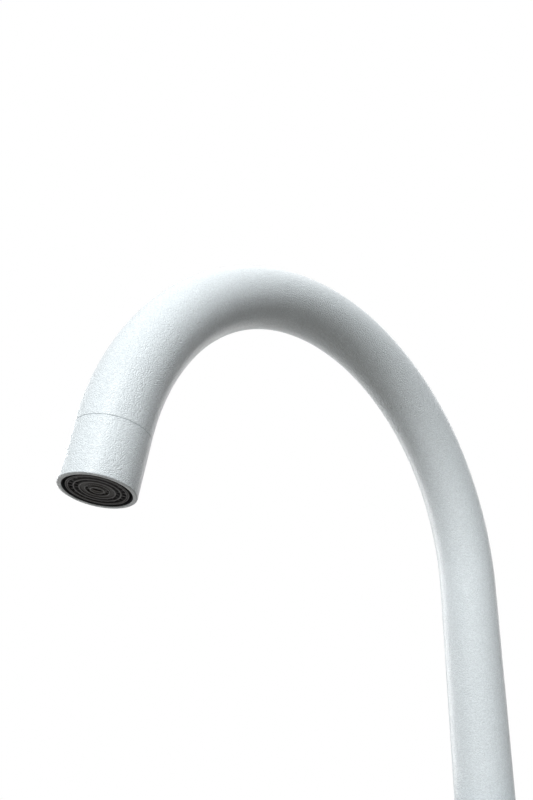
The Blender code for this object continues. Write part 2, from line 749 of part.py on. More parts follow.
def port_outlines(radius):
    above, beside = INLET_PORT
    middles = [(-above, -beside), (-above, beside), (OUTLET_PORT, 0)]
    return [circle_points(radius, TINY_ROUND, m) for m in middles]


def pin_outlines(radius):
    below, beside = LOCATING_PIN
    return [circle_points(radius, TINY_ROUND, (below, side * beside)) for side in (-1, 1)]


def cartridge_fixed_pieces():
    at = stack()
    edge = circle_points(CARTRIDGE_RADIUS - SEAT, SMALL_ROUND)
    seal_edge = circle_points(CARTRIDGE_RADIUS - 2 * SEAT, SMALL_ROUND)
    holes = port_outlines(PORT_RADIUS) + pin_outlines(LOCATING_PIN_RADIUS + SEAT)
    high = at["seal"] + PORT_SEAL_THICKNESS
    plate("cartridge_port_seal", [seal_edge, *holes], at["seal"], high, RUBBER, CARTRIDGE_AXIS)
    low, high = at["base"], at["base"] + CARTRIDGE_BASE_THICKNESS
    base = plate("cartridge_base", [edge, *port_outlines(PORT_RADIUS)], low, high, WHITE_PLASTIC, CARTRIDGE_AXIS)
    below, beside = LOCATING_PIN
    for side in (-1, 1):
        tip = (below, side * beside, SEAT_FACE - LOCATING_PIN_LENGTH + SEAT)
        root = (below, side * beside, low + CARTRIDGE_BASE_THICKNESS / 2)
        join(base, bar("locating_pin", tip, root, LOCATING_PIN_RADIUS, CARTRIDGE_AXIS))
    low, high = at["fixed_disc"], at["fixed_disc"] + FIXED_DISC_THICKNESS
    disc_edge = circle_points(FIXED_DISC_RADIUS, SMALL_ROUND)
    ports = port_outlines(PORT_RADIUS - SEAT)
    plate("fixed_ceramic_disc", [disc_edge, *ports], low, high, CERAMIC, CARTRIDGE_AXIS)
    inner = CARTRIDGE_RADIUS - CARTRIDGE_WALL
    wall_high = at["top_wall"] + TOP_WALL
    housing = [
        (CARTRIDGE_RADIUS, wall_high),
        (CARTRIDGE_RADIUS, at["fixed_disc"]),
        (inner, at["fixed_disc"]),
        (inner, at["top_wall"]),
        (DRIVER_BOSS_RADIUS + SLIDE, at["top_wall"]),
        (DRIVER_BOSS_RADIUS + SLIDE, wall_high),
    ]
    turned("cartridge_housing", housing, WHITE_PLASTIC, CARTRIDGE_AXIS, ROUND)


def cartridge_nut():
    at = stack()
    thread_start = BOSS_END - NUT_THREAD_LENGTH + SEAT
    skirt = CARTRIDGE_RADIUS + SEAT
    end = at["nut_flange"] + NUT_FLANGE
    drop = BOSS_END + SEAT - PIVOT
    inside_dome = math.sqrt((DOME_RADIUS - DOME_WALL) ** 2 - drop**2) - SEAT
    profile = [
        (inside_dome, end),
        (inside_dome, BOSS_END),
        (NUT_THREAD_RADIUS, BOSS_END),
        (NUT_THREAD_RADIUS, thread_start),
        (skirt, thread_start),
        (skirt, at["nut_flange"]),
        (DRIVER_BOSS_RADIUS + 5 * SEAT, at["nut_flange"]),
        (DRIVER_BOSS_RADIUS + 5 * SEAT, end),
    ]
    turned("cartridge_nut", profile, BRASS, CARTRIDGE_AXIS, ROUND)


def dome_cap():
    """The ball-shaped cover over the nut, which the lever's hub swings round."""
    neck = BOSS_END + SEAT - PIVOT
    inner_radius = DOME_RADIUS - DOME_WALL
    mouth = math.sqrt(DOME_RADIUS**2 - DOME_OPENING**2)
    inner_mouth = math.sqrt(inner_radius**2 - DOME_OPENING**2)
    profile = sphere_arc(DOME_RADIUS, mouth, neck, 6) + sphere_arc(inner_radius, neck, inner_mouth, 4)
    turned("dome_cap", profile, COATING, LEVER_PIVOT, ROUND)


def sliding_pieces():
    """The carrier holds the sliding disc by two lugs, and the lever stem's ball moves it."""
    at = stack()
    offset = STEM_BALL_REACH * math.sin(STEM_TILT)
    axis = new_empty("carrier_axis", (offset, 0, 0), parent=CARTRIDGE_AXIS)
    low, high = at["sliding_disc"], at["sliding_disc"] + SLIDING_DISC_THICKNESS
    disc = turned(
        "sliding_ceramic_disc",
        [(0, high), (SLIDING_DISC_RADIUS, high), (SLIDING_DISC_RADIUS, low), (0, low)],
        CERAMIC,
        axis,
    )
    below, tail_radius = RECESS_TAIL
    for middle, radius in ((0, RECESS_RADIUS), (below, tail_radius)):
        cut(disc, bar("mixing_recess", (middle, 0, low - 0.001), (middle, 0, low + RECESS_DEPTH), radius, axis, SMALL_ROUND))
    carrier_low, carrier_high = at["carrier"], at["carrier"] + CARRIER_THICKNESS
    hole = circle_points(STEM_BALL_RADIUS + SLIDE + 0.0001, SMALL_ROUND)
    edge = circle_points(CARRIER_RADIUS, SMALL_ROUND)
    carrier = plate("disc_carrier", [edge, hole], carrier_low, carrier_high, WHITE_PLASTIC, axis)
    rail_half = RAIL_WIDTH / 2 + SLIDE
    groove_floor = at["driver"] - RAIL_DEPTH - SLIDE
    for side in (-1, 1):
        middle = side * RAIL_OFFSET
        low_corner = (-1.2 * CARRIER_RADIUS, middle - rail_half, groove_floor)
        high_corner = (1.2 * CARRIER_RADIUS, middle + rail_half, carrier_high + 0.001)
        cut(carrier, block("rail_groove", low_corner, high_corner, axis))
        inner, outer = SLIDING_DISC_RADIUS - LUG_DEPTH, SLIDING_DISC_RADIUS
        spread = sorted((side * inner, side * outer))
        lug_low = (-LUG_WIDTH / 2, spread[0], carrier_low - SLIDING_DISC_THICKNESS / 2)
        join(carrier, block("lug", lug_low, (LUG_WIDTH / 2, spread[1], carrier_low + 0.001), axis))
        notch = sorted((side * (inner - SEAT), side * (outer + 0.001)))
        notch_low = (-LUG_WIDTH / 2 - SEAT, notch[0], low - 0.001)
        cut(disc, block("lug_notch", notch_low, (LUG_WIDTH / 2 + SEAT, notch[1], high + 0.001), axis))


def driver():
    """The turning piece that carries the lever's pin. Its rails turn the carrier and let it slide."""
    at = stack()
    low, shoulder = at["driver"], at["driver"] + DRIVER_FLANGE
    high = shoulder + DRIVER_BOSS_LENGTH
    profile = [
        (0, high),
        (DRIVER_BOSS_RADIUS, high),
        (DRIVER_BOSS_RADIUS, shoulder),
        (DRIVER_FLANGE_RADIUS, shoulder),
        (DRIVER_FLANGE_RADIUS, low),
        (0, low),
    ]
    turning = turned("cartridge_driver", profile, WHITE_PLASTIC, CARTRIDGE_AXIS)
    half_width = STEM_SIZE / 2 + SLIDE
    reach = max(PIVOT - low, high - PIVOT)
    half_length = STEM_SIZE / 2 / math.cos(STEM_TILT) + reach * math.tan(STEM_TILT) + SLIDE
    slot = block("stem_slot", (-half_length, -half_width, low - 0.002), (half_length, half_width, high + 0.002), CARTRIDGE_AXIS)
    cut(turning, slot)
    for side in (-1, 1):
        middle = side * RAIL_OFFSET
        rail_low = (-RAIL_LENGTH / 2, middle - RAIL_WIDTH / 2, low - RAIL_DEPTH)
        rail_high = (RAIL_LENGTH / 2, middle + RAIL_WIDTH / 2, low + DRIVER_FLANGE / 2)
        join(turning, block("rail", rail_low, rail_high, CARTRIDGE_AXIS))
    across = 1.2 * DRIVER_BOSS_RADIUS
    pin_hole = bar("pin_hole", (0, -across, 0), (0, across, 0), STEM_PIN_RADIUS + SEAT / 2, LEVER_PIVOT)
    cut(turning, pin_hole)
    length = DRIVER_BOSS_RADIUS - SEAT
    bar("lever_pin", (0, -length, 0), (0, length, 0), STEM_PIN_RADIUS, LEVER_PIVOT, material=STEEL)


# Lever


def lever_stem():
    stem_axis = new_empty("stem_axis", (0, 0, 0), -STEM_TILT, "Y", LEVER_PIVOT)
    half = STEM_SIZE / 2
    stem = block("lever_stem", (-half, -half, -STEM_FOOT), (half, half, STEM_REACH), stem_axis)
    stem.data.materials.append(BRASS)
    tail = bar("stem_tail", (0, 0, -STEM_FOOT + 0.0005), (0, 0, -STEM_BALL_REACH), STEM_TAIL_RADIUS, stem_axis)
    join(stem, tail, ball("stem_ball", (0, 0, -STEM_BALL_REACH), STEM_BALL_RADIUS, stem_axis))
    cut(stem, bar("stem_pin_hole", (0, -STEM_SIZE, 0), (0, STEM_SIZE, 0), STEM_PIN_RADIUS + SLIDE, stem_axis))
    clear = half + SEAT
    return block("stem_socket", (-clear, -clear, 0), (clear, clear, STEM_REACH + SEAT), stem_axis)


def lever_hub(stem_socket):
    cavity = DOME_RADIUS + BALL_GAP
    end = fillet(HUB_RADIUS - HUB_FILLET, HUB_END - HUB_FILLET, HUB_FILLET, 90, 0, 4)
    profile = [(0, HUB_END), *end, (HUB_RADIUS, HUB_RIM), *sphere_arc(cavity, HUB_RIM, cavity, 7)[:-1]]
    profile.append((0, cavity))
    hub = turned("lever_hub", profile, COATING, LEVER_PIVOT, ROUND)
    cut(hub, stem_socket)
    outside = -HUB_RADIUS - 0.01
    rod_foot = -HUB_RADIUS + ROD_SOCKET
    cut(hub, bar("rod_socket", (outside, 0, ROD_PLACE), (rod_foot, 0, ROD_PLACE), ROD_RADIUS + SEAT, LEVER_PIVOT, SMALL_ROUND))
    inside, outside = (-STEM_SIZE / 2, 0, SET_SCREW_PLACE), (-outside, 0, SET_SCREW_PLACE)
    cut(hub, bar("set_screw_hole", inside, outside, SET_SCREW_RADIUS + SEAT, LEVER_PIVOT))


def lever_rod():
    """The round handle. Its local Z axis points away from the hub."""
    axis = new_empty("rod_axis", (0, 0, ROD_PLACE), -math.pi / 2, "Y", LEVER_PIVOT)
    foot = HUB_RADIUS - ROD_SOCKET + SEAT
    tip = fillet(0, ROD_LENGTH - ROD_TIP_RADIUS, ROD_TIP_RADIUS, 90, 0, 5)
    profile = [(0, ROD_LENGTH), *tip[1:], (ROD_RADIUS, HUB_RADIUS), (ROD_RADIUS, foot), (0, foot)]
    turned("lever_rod", profile, COATING, axis)


def set_screw_and_plug():
    axis = new_empty("set_screw_axis", (0, 0, SET_SCREW_PLACE), math.pi / 2, "Y", LEVER_PIVOT)
    stem_height = SET_SCREW_PLACE * math.tan(STEM_TILT) - STEM_SIZE / 2 / math.cos(STEM_TILT)
    tip = -stem_height + SET_SCREW_RADIUS * math.tan(STEM_TILT) + SEAT
    end = tip + SET_SCREW_LENGTH
    profile = [(0, end), (SET_SCREW_RADIUS, end), (SET_SCREW_RADIUS, tip), (0, tip)]
    screw = turned("lever_set_screw", profile, STEEL, axis, TINY_ROUND)
    cut(screw, bar("set_screw_hex", (0, 0, end - 0.0024), (0, 0, end + 0.001), SET_SCREW_RADIUS * 0.55, axis, 6))
    face = HUB_RADIUS - SEAT
    plug = [(0, face), (SET_SCREW_RADIUS, face), (SET_SCREW_RADIUS, face - PLUG_LENGTH), (0, face - PLUG_LENGTH)]
    turned("hot_cold_plug", plug, INDEX_PLASTIC, axis, TINY_ROUND)


# Fixing under the worktop


def clamp_outline():
    """A horseshoe, open towards -X for the hoses. It starts at one tip and runs round the outside."""
    half = CLAMP_SLOT_WIDTH / 2
    opening = math.asin(half / CLAMP_RADIUS)
    steps = 30
    sweep = math.tau - 2 * opening
    angles = [-math.pi + opening + sweep * i / steps for i in range(steps + 1)]
    outside = [(CLAMP_RADIUS * math.cos(a), CLAMP_RADIUS * math.sin(a)) for a in angles]
    turns = [math.pi / 2 - math.pi * i / 10 for i in range(11)]
    middle = CLAMP_SLOT_END - half
    slot_end = [(middle + half * math.cos(a), half * math.sin(a)) for a in turns]
    return outside + slot_end


def fixing():
    under = -WORKTOP_THICKNESS
    hole = circle_points(STUD_RADIUS + SEAT, SMALL_ROUND, (STUD_PLACE, 0))
    gasket_low = under - CLAMP_GASKET_THICKNESS
    plate("clamp_gasket", [clamp_outline(), hole], gasket_low, under, RUBBER)
    plate_high = gasket_low - SEAT
    plate_low = plate_high - CLAMP_PLATE_THICKNESS
    plate("clamp_plate", [clamp_outline(), hole], plate_low, plate_high, STEEL)
    nut_high = plate_low - SEAT
    hexagon = [(STUD_PLACE + x, y) for x, y in circle_points(NUT_ACROSS_CORNERS / 2, 6)]
    plate("fixing_nut", [hexagon, hole], nut_high - NUT_HEIGHT, nut_high, BRASS)
    top = STUD_DEPTH - SEAT
    foot = (STUD_PLACE, 0, top - STUD_LENGTH)
    bar("fixing_stud", foot, (STUD_PLACE, 0, top), STUD_RADIUS, None, SMALL_ROUND, material=STEEL)


clear_scene()
TAP = new_collection("kitchen_mixer_tap")
CUTTERS = new_collection("cutters", hidden=True)

COATING = new_material("speckled_coating", (0.78, 0.81, 0.82), 0.45)
BRASS = new_material("brass", (0.72, 0.55, 0.27), 0.35, 1.0)
STEEL = new_material("steel", (0.62, 0.63, 0.64), 0.35, 1.0)
RUBBER = new_material("black_rubber", (0.03, 0.03, 0.03), 0.8)
BLACK_PLASTIC = new_material("black_plastic", (0.02, 0.02, 0.025), 0.4)
GREY_PLASTIC = new_material("dark_grey_plastic", (0.10, 0.10, 0.11), 0.5)
WHITE_PLASTIC = new_material("white_plastic", (0.80, 0.80, 0.78), 0.4)
CERAMIC = new_material("ceramic", (0.85, 0.84, 0.80), 0.2)
INDEX_PLASTIC = new_material("index_plastic", (0.10, 0.20, 0.65), 0.4)

mouth_point, mouth_direction = bend_point(BEND_SWEEP)
mouth_point += mouth_direction * (TUBE_TAIL + SEAT + COLLAR_LENGTH)
SPOUT_AXIS = new_empty("spout_axis", (0, 0, 0))
MOUTH = new_empty("outlet_mouth", mouth_point, BEND_SWEEP - math.pi, parent=SPOUT_AXIS)
CARTRIDGE_AXIS = new_empty("cartridge_axis", (0, 0, CARTRIDGE_HEIGHT), math.pi / 2, "Y")
LEVER_PIVOT = new_empty("lever_pivot", (0, 0, PIVOT), parent=CARTRIDGE_AXIS)

spout_tube()
spout_connector()
swivel_pieces()
stop_screw()
outlet_collar()
outlet_nipple()
aerator()
tap_body()
base_pieces()
cartridge_fixed_pieces()
cartridge_nut()
dome_cap()
sliding_pieces()
driver()
lever_hub(lever_stem())
lever_rod()
set_screw_and_plug()
fixing()
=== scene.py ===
import json
import math

import bpy
from bpy.props import FloatProperty, FloatVectorProperty, IntProperty, PointerProperty
from mathutils import Matrix, Vector


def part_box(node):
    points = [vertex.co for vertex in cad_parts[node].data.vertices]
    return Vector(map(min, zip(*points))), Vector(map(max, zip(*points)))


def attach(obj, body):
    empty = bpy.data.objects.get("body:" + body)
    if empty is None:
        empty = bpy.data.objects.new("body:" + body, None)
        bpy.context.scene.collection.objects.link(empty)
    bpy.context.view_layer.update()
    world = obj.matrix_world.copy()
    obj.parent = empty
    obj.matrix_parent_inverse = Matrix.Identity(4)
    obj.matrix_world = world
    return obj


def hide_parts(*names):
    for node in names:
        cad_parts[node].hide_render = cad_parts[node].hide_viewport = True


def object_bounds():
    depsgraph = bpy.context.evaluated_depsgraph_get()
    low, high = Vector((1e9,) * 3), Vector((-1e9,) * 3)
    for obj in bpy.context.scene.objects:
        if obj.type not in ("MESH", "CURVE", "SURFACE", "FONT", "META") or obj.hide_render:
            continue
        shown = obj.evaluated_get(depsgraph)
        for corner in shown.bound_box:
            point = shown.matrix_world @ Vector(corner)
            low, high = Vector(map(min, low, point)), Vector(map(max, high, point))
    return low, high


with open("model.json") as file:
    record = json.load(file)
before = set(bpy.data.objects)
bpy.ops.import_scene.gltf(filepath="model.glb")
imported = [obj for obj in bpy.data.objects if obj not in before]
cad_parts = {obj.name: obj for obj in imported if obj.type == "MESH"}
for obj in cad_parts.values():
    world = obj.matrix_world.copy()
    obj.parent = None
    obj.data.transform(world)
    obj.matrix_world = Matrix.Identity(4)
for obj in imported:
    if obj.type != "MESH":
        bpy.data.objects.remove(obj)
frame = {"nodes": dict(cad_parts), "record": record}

CAD_BOX = [list(corner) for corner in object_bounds()]

bl_info = {
    "name": "Kitchen mixer tap",
    "version": (1, 0, 0),
    "blender": (4, 5, 0),
    "location": "3D View > Sidebar > Tap",
    "description": "Models the smooth pieces of a kitchen mixer tap over its frame, and its stage",
    "category": "Add Mesh",
}

GAP = 0.0003  # between pieces that meet
SEAM_EDGE = 0.00008  # rounding of the edges at the spout's seam
MERGED = 0.000001  # points closer than this are made one
STUD_HOLE = 0.0043  # radius of the holes that the fixing stud goes through
STEM_LEAN = math.radians(12.5)  # how far the lever's stem leans from the hub's axis


def span(node, axis):
    """The lowest and the highest place of a node of the frame along an axis."""
    low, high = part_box(node)
    return low["xyz".index(axis)], high["xyz".index(axis)]


def reach(node, axis):
    """How far a node of the frame reaches along an axis."""
    return span(node, axis)[1]


def length(name, description, default):
    return FloatProperty(name=name, description=description, default=default, unit="LENGTH", precision=5)


def power(name, description, default):
    return FloatProperty(name=name, description=description, default=default, unit="POWER")


def colour(name, description, default):
    return FloatVectorProperty(
        name=name, description=description, default=default, size=3, subtype="COLOR", min=0, max=1
    )


class TapSizes(bpy.types.PropertyGroup):
    """Sizes of the tap, in metres."""

    tube_radius: length("Tube radius", "Outer radius of the spout's tube", reach("spout_tube", "x"))
    tube_wall: length("Tube wall", "Thickness of the tube's wall", 0.0015)
    bend_radius: length("Bend radius", "Radius of the bend's centreline", 0.114)
    bend_start: length("Bend start", "Height at which the tube starts to bend", 0.220)
    bend_sweep: FloatProperty(
        name="Bend sweep",
        description="Angle that the tube bends through",
        default=math.radians(169.7),
        subtype="ANGLE",
    )
    tube_tail: length("Tube tail", "Straight end of the tube past the bend", 0.00045)
    collar_length: length("Collar length", "Length of the collar at the outlet", 0.02225)
    collar_wall: length("Collar wall", "Thickness of the collar's wall at its rim", 0.00165)
    seam: length("Seam", "Width of the hairline seam above the collar", 0.00013)
    body_radius: length("Body radius", "Radius of the tap's body", 0.023)
    body_top: length("Body top", "Height of the body's shoulder", 0.118)
    base_radius: length("Base radius", "Radius of the base ring", reach("base_ring", "x"))
    base_height: length("Base height", "Height of the base ring", reach("base_ring", "z"))
    boss_radius: length("Boss radius", "Radius of the boss on the body's side", 0.019)
    boss_end: length("Boss end", "Where the boss ends, from the middle of the body", 0.029)
    lever_height: length("Lever height", "Height of the lever's axis above the worktop", 0.052)
    pivot: length("Pivot", "Distance from the body's axis to the lever's pin", 0.035)
    dome_radius: length("Dome radius", "Radius of the dome that the lever swings over", 0.017)
    hub_radius: length("Hub radius", "Radius of the lever's hub", 0.019)
    rod_radius: length("Rod radius", "Radius of the lever's rod at the hub", 0.0045)
    stud_pitch: length("Thread pitch", "Pitch of the thread on the fixing stud", 0.00125)


class TapFinishes(bpy.types.PropertyGroup):
    """Colours and grain of the tap's finishes."""

    coating: colour("Coating", "Colour of the pale coating", (0.772, 0.836, 0.868))
    coating_dark: colour("Coating, dark grains", "Colour between the flakes", (0.610, 0.667, 0.695))
    coating_grain: length("Coating grain", "Width of the flakes in the coating", 0.00042)
    coating_relief: length("Coating relief", "Height of the grain in the coating", 0.00026)
    steel: colour("Steel", "Colour of the plated steel", (0.58, 0.59, 0.60))
    brass: colour("Brass", "Colour of the turned brass", (0.72, 0.53, 0.25))
    rubber: colour("Rubber", "Colour of the seals", (0.025, 0.025, 0.026))
    black_plastic: colour("Black plastic", "Colour of the aerator's body", (0.034, 0.036, 0.040))
    grey_plastic: colour("Grey plastic", "Colour of the aerator's ridges", (0.185, 0.184, 0.188))
    # A brown hue, darkened as painted shade for the low parts of the aerator's middle.
    shaded_brown: colour("Brown plastic", "Colour of the aerator's middle", (0.034, 0.032, 0.029))
    white_plastic: colour("White plastic", "Colour of the cartridge", (0.72, 0.72, 0.69))
    ceramic: colour("Ceramic", "Colour of the cartridge's discs", (0.80, 0.78, 0.72))
    hot: colour("Hot mark", "Colour of the hot half of the plug", (0.55, 0.03, 0.03))
    cold: colour("Cold mark", "Colour of the cold half of the plug", (0.03, 0.10, 0.50))


class TapStage(bpy.types.PropertyGroup):
    """Light and camera."""

    key_power: power("Key power", "Power of the lamp in front", 33.0)
    left_power: power("Left power", "Power of the lamp on the left", 13.2)
    top_power: power("Top power", "Power of the lamp overhead", 7.5)
    back_power: power("Back power", "Power of the lamp behind the tap", 4.6)
    focal_length: FloatProperty(name="Focal length", description="Camera lens", default=37.8, unit="CAMERA")
    floor_drop: length("Floor drop", "How far the floor is below the tap", 0.0002)
    facets: IntProperty(name="Facets", description="Facets round each turned piece", default=96, min=24)


# Finishes


class Value:
    """An output of a node, which can be used in sums and comparisons."""

    def __init__(self, nodes, socket):
        self.nodes = nodes
        self.socket = socket

    def __add__(self, other):
        return self.nodes.maths("ADD", self, other)

    def __sub__(self, other):
        return self.nodes.maths("SUBTRACT", self, other)

    def __rsub__(self, other):
        return self.nodes.maths("SUBTRACT", other, self)

    def __mul__(self, other):
        return self.nodes.maths("MULTIPLY", self, other)

    def __gt__(self, other):
        return self.nodes.maths("GREATER_THAN", self, other)

    def __lt__(self, other):
        return self.nodes.maths("LESS_THAN", self, other)

    __radd__ = __add__
    __rmul__ = __mul__


class Nodes:
    """The nodes of a material or of the surroundings."""

    def __init__(self, tree):
        self.tree = tree

    def node(self, kind, settings=(), values=(), output=0):
        """Adds a node: its settings come first, and then the values or links of its sockets."""
        made = self.tree.nodes.new("ShaderNode" + kind)
        for name, value in dict(settings).items():
            setattr(made, name, value)
        for socket, value in dict(values).items():
            if isinstance(value, Value):
                self.tree.links.new(value.socket, made.inputs[socket])
            else:
                made.inputs[socket].default_value = value
        return Value(self, made.outputs[output])

    def maths(self, operation, first, second):
        return self.node("Math", {"operation": operation}, {0: first, 1: second})

    def to_the_eye(self):
        """1 for what the eye sees, in a reflection and through glass too, and 0 for the light that falls on
        the tap."""
        seen = self.node("LightPath", output="Is Camera Ray")
        for ray in ("Is Glossy Ray", "Is Transmission Ray"):
            seen = self.maths("MAXIMUM", seen, self.node("LightPath", output=ray))
        return seen


class Finish(Nodes):
    """A procedural material. Its constants are set on the shader's own sockets."""

    def __init__(self, name, constants=()):
        self.material = bpy.data.materials.new(name)
        self.material.use_nodes = True
        super().__init__(self.material.node_tree)
        self.shader = self.tree.nodes["Principled BSDF"]
        for socket, value in dict(constants).items():
            self.shader.inputs[socket].default_value = value
        self.place = self.node("TexCoord", output="Object")

    def noise(self, size, detail, roughness=0.5, stretch=(1, 1, 1)):
        """Noise whose blotches have about a given size."""
        place = self.node("Mapping", {"vector_type": "POINT"}, {"Vector": self.place, "Scale": stretch})
        values = {"Vector": place, "Scale": 1 / size, "Detail": detail, "Roughness": roughness}
        return self.node("TexNoise", {}, values)

    def flakes(self, size):
        """One random number for each flake, and how far a point is from its middle."""
        values = {"Vector": self.place, "Scale": 1 / size, "Smoothness": 0.5}
        cells = self.node("TexVoronoi", {"feature": "SMOOTH_F1"}, values, "Color")
        hollow = Value(self, cells.socket.node.outputs["Distance"])
        return self.node("SeparateColor", {}, {0: cells}), hollow

    def blend(self, factor, first, second):
        """Mixes two colours: factor 0 gives the first and 1 the second."""
        first, second = [(*shown, 1) if isinstance(shown, tuple) else shown for shown in (first, second)]
        settings = {"data_type": "RGBA", "clamp_factor": True}
        return self.node("Mix", settings, {0: factor, 6: first, 7: second}, 2)

    def distance(self, point):
        return self.node("VectorMath", {"operation": "DISTANCE"}, {0: self.place, 1: point}, "Value")

    def bump(self, height, depth, strength=1.0):
        self.set("Normal", self.node("Bump", {}, {"Height": height, "Distance": depth, "Strength": strength}))

    def set(self, socket, value):
        self.tree.links.new(value.socket, self.shader.inputs[socket])


def shade(value, factor):
    """A colour made darker or lighter."""
    return tuple(min(1.0, channel * factor) for channel in value)


def coating(finishes):
    """A pale satin coating with a fine sandy grain, a little darker between the grains, under a thin clear
    film."""
    film = {"Coat Weight": 0.6, "Coat Roughness": 0.26, "Coat IOR": 1.25}
    made = Finish("speckled_coating", {"Specular IOR Level": 0.35, **film})
    flake, hollow = made.flakes(finishes.coating_grain)
    cloud = made.noise(0.006, 2.0)
    pale, dark = tuple(finishes.coating), tuple(finishes.coating_dark)
    grains = made.blend(flake * 0.8 + 0.2, dark, shade(pale, 1.07))
    made.set("Base Color", made.blend(cloud * 0.2, grains, pale))
    made.set("Roughness", flake * 0.16 + 0.38)
    made.bump(flake * 0.3 - hollow, finishes.coating_relief)
    return made.material


def turned_metal(name, colour_value, roughness):
    """Metal with the fine marks of turning or plating, and slight blotches."""
    made = Finish(name, {"Metallic": 1.0})
    marks = made.noise(0.0011, 3.0, 0.7, (1, 1, 5))
    blotch = made.noise(0.007, 3.0)
    base = tuple(colour_value)
    tone = made.blend(marks, shade(base, 0.88), shade(base, 1.12))
    made.set("Base Color", made.blend(blotch * 0.5, tone, shade(base, 0.82)))
    made.set("Roughness", marks * 0.18 + blotch * 0.10 + (roughness - 0.14))
    made.bump(marks, 0.00003, 0.4)
    return made.material


def moulded(name, colour_value, roughness, grain=0.0006, depth=0.00003, gloss=0.45):
    """Moulded plastic or rubber: an even colour with a fine grain and slight flow marks."""
    made = Finish(name, {"Specular IOR Level": gloss})
    fine = made.noise(grain, 3.0, 0.6)
    flow = made.noise(0.005, 2.0)
    base = tuple(colour_value)
    tone = made.blend(fine, shade(base, 0.82), shade(base, 1.18))
    made.set("Base Color", made.blend(flow * 0.4, tone, shade(base, 0.9)))
    made.set("Roughness", fine * 0.14 + flow * 0.08 + (roughness - 0.11))
    made.bump(fine, depth, 0.5)
    return made.material


def aerator_plastic(finishes):
    """Dark moulded plastic with painted light and shade: the ridges are painted paler and the grooves darker,
    the middle is browner, and its slot is painted dark.
    """
    ridge_depth, slot_depth = 0.00042, 0.0007
    middle_radius, core_radius = 0.0061, 0.0024
    made = Finish("aerator_plastic", {"Specular IOR Level": 0.15})
    fine = made.noise(0.0005, 3.0, 0.6)
    mouth, along = mouth_place()
    mouth_level = mouth.dot(along)
    level = made.node("VectorMath", {"operation": "DOT_PRODUCT"}, {0: made.place, 1: tuple(along)}, "Value")
    from_middle = made.distance(tuple(mouth))
    core = from_middle < core_radius
    grey, brown = tuple(finishes.grey_plastic), tuple(finishes.shaded_brown)
    # Painted shade: the groove floors are a darker grey, or brown in the middle.
    shaded_grooves = made.blend(from_middle < middle_radius, shade(grey, 0.28), brown)
    shaded_grooves = made.blend(core, shaded_grooves, shade(brown, 2.0))
    # Painted shade: the walls deep in the slot are painted nearly black.
    shaded_grooves = made.blend(core * (level < mouth_level - slot_depth), shaded_grooves, shade(brown, 0.2))
    # Painted highlight: the ridge tops are paler than the grooves.
    lit_ridges = made.blend(fine, shade(grey, 0.8), shade(grey, 1.2))
    made.set("Base Color", made.blend(level > mouth_level - ridge_depth, shaded_grooves, lit_ridges))
    made.set("Roughness", fine * 0.15 + 0.42)
    made.bump(fine, 0.00002, 0.5)
    return made.material


def ceramic(finishes):
    """Lapped ceramic with faint mottling."""
    made = Finish("lapped_ceramic", {"Specular IOR Level": 0.5, "Coat Weight": 0.2})
    mottle = made.noise(0.0016, 4.0, 0.6)
    base = tuple(finishes.ceramic)
    made.set("Base Color", made.blend(mottle, shade(base, 0.9), shade(base, 1.06)))
    made.set("Roughness", mottle * 0.08 + 0.14)
    return made.material


def marked_plastic(finishes):
    """The plug's plastic: one half for hot and one for cold, both a little greyed."""
    made = Finish("marked_plastic", {"Specular IOR Level": 0.5, "Coat Weight": 0.4})
    side = made.node("SeparateXYZ", {}, {0: made.place}, "Y")
    fine = made.noise(0.0008, 2.0)
    halves = made.blend(side > 0.0, tuple(finishes.cold), tuple(finishes.hot))
    made.set("Base Color", made.blend(fine * 0.2, halves, (0.2, 0.2, 0.2)))
    made.set("Roughness", fine * 0.1 + 0.25)
    return made.material


def make_finishes():
    """Makes each material once, and gives them by the record's slot names."""
    finishes = bpy.context.scene.tap_finishes
    return {
        "coating": coating(finishes),
        "brass": turned_metal("turned_brass", finishes.brass, 0.34),
        "steel": turned_metal("plated_steel", finishes.steel, 0.38),
        "rubber": moulded("seal_rubber", finishes.rubber, 0.72, 0.0009, 0.00005),
        "black_plastic": moulded("black_moulding", finishes.black_plastic, 0.62, gloss=0.15),
        "grey_plastic": aerator_plastic(finishes),
        "white_plastic": moulded("white_moulding", finishes.white_plastic, 0.42),
        "ceramic": ceramic(finishes),
        "index_plastic": marked_plastic(finishes),
    }


# The materials by their slot names, filled by main().
FINISHES = {}


# Places


def sizes():
    return bpy.context.scene.tap_sizes


def mouth_place():
    """Middle of the outlet's mouth, and the direction in which the water leaves."""
    tap = sizes()
    sweep = tap.bend_sweep
    along = Vector((0, -math.sin(sweep), math.cos(sweep)))
    bend_end = Vector(
        (0, tap.bend_radius * (math.cos(sweep) - 1), tap.bend_start + tap.bend_radius * math.sin(sweep))
    )
    return bend_end + along * (tap.tube_tail + GAP + tap.collar_length), along


def at_mouth():
    """The outlet's place: its local Z axis runs from the mouth up into the spout."""
    middle, _ = mouth_place()
    return Matrix.Translation(middle) @ Matrix.Rotation(sizes().bend_sweep - math.pi, 4, "X")


def at_lever(along=0.0):
    """A place on the lever's axis, with its local Z axis pointing away from the body."""
    return Matrix.Translation((along, 0, sizes().lever_height)) @ Matrix.Rotation(math.pi / 2, 4, "Y")


def at_rod():
    """The rod's place in the hub, with its local Z axis pointing up."""
    in_hub = Matrix.Translation((0, 0, 0.0155))
    return at_lever(sizes().pivot) @ in_hub @ Matrix.Rotation(-math.pi / 2, 4, "Y")


def at_plug():
    """The place of the plug and the set screw's hole in the hub, with its local Z axis pointing down."""
    in_hub = Matrix.Translation((0, 0, 0.0205))
    return at_lever(sizes().pivot) @ in_hub @ Matrix.Rotation(math.pi / 2, 4, "Y")


def at_stud():
    """The fixing stud's axis."""
    return Matrix.Translation((0.0095, 0, 0))


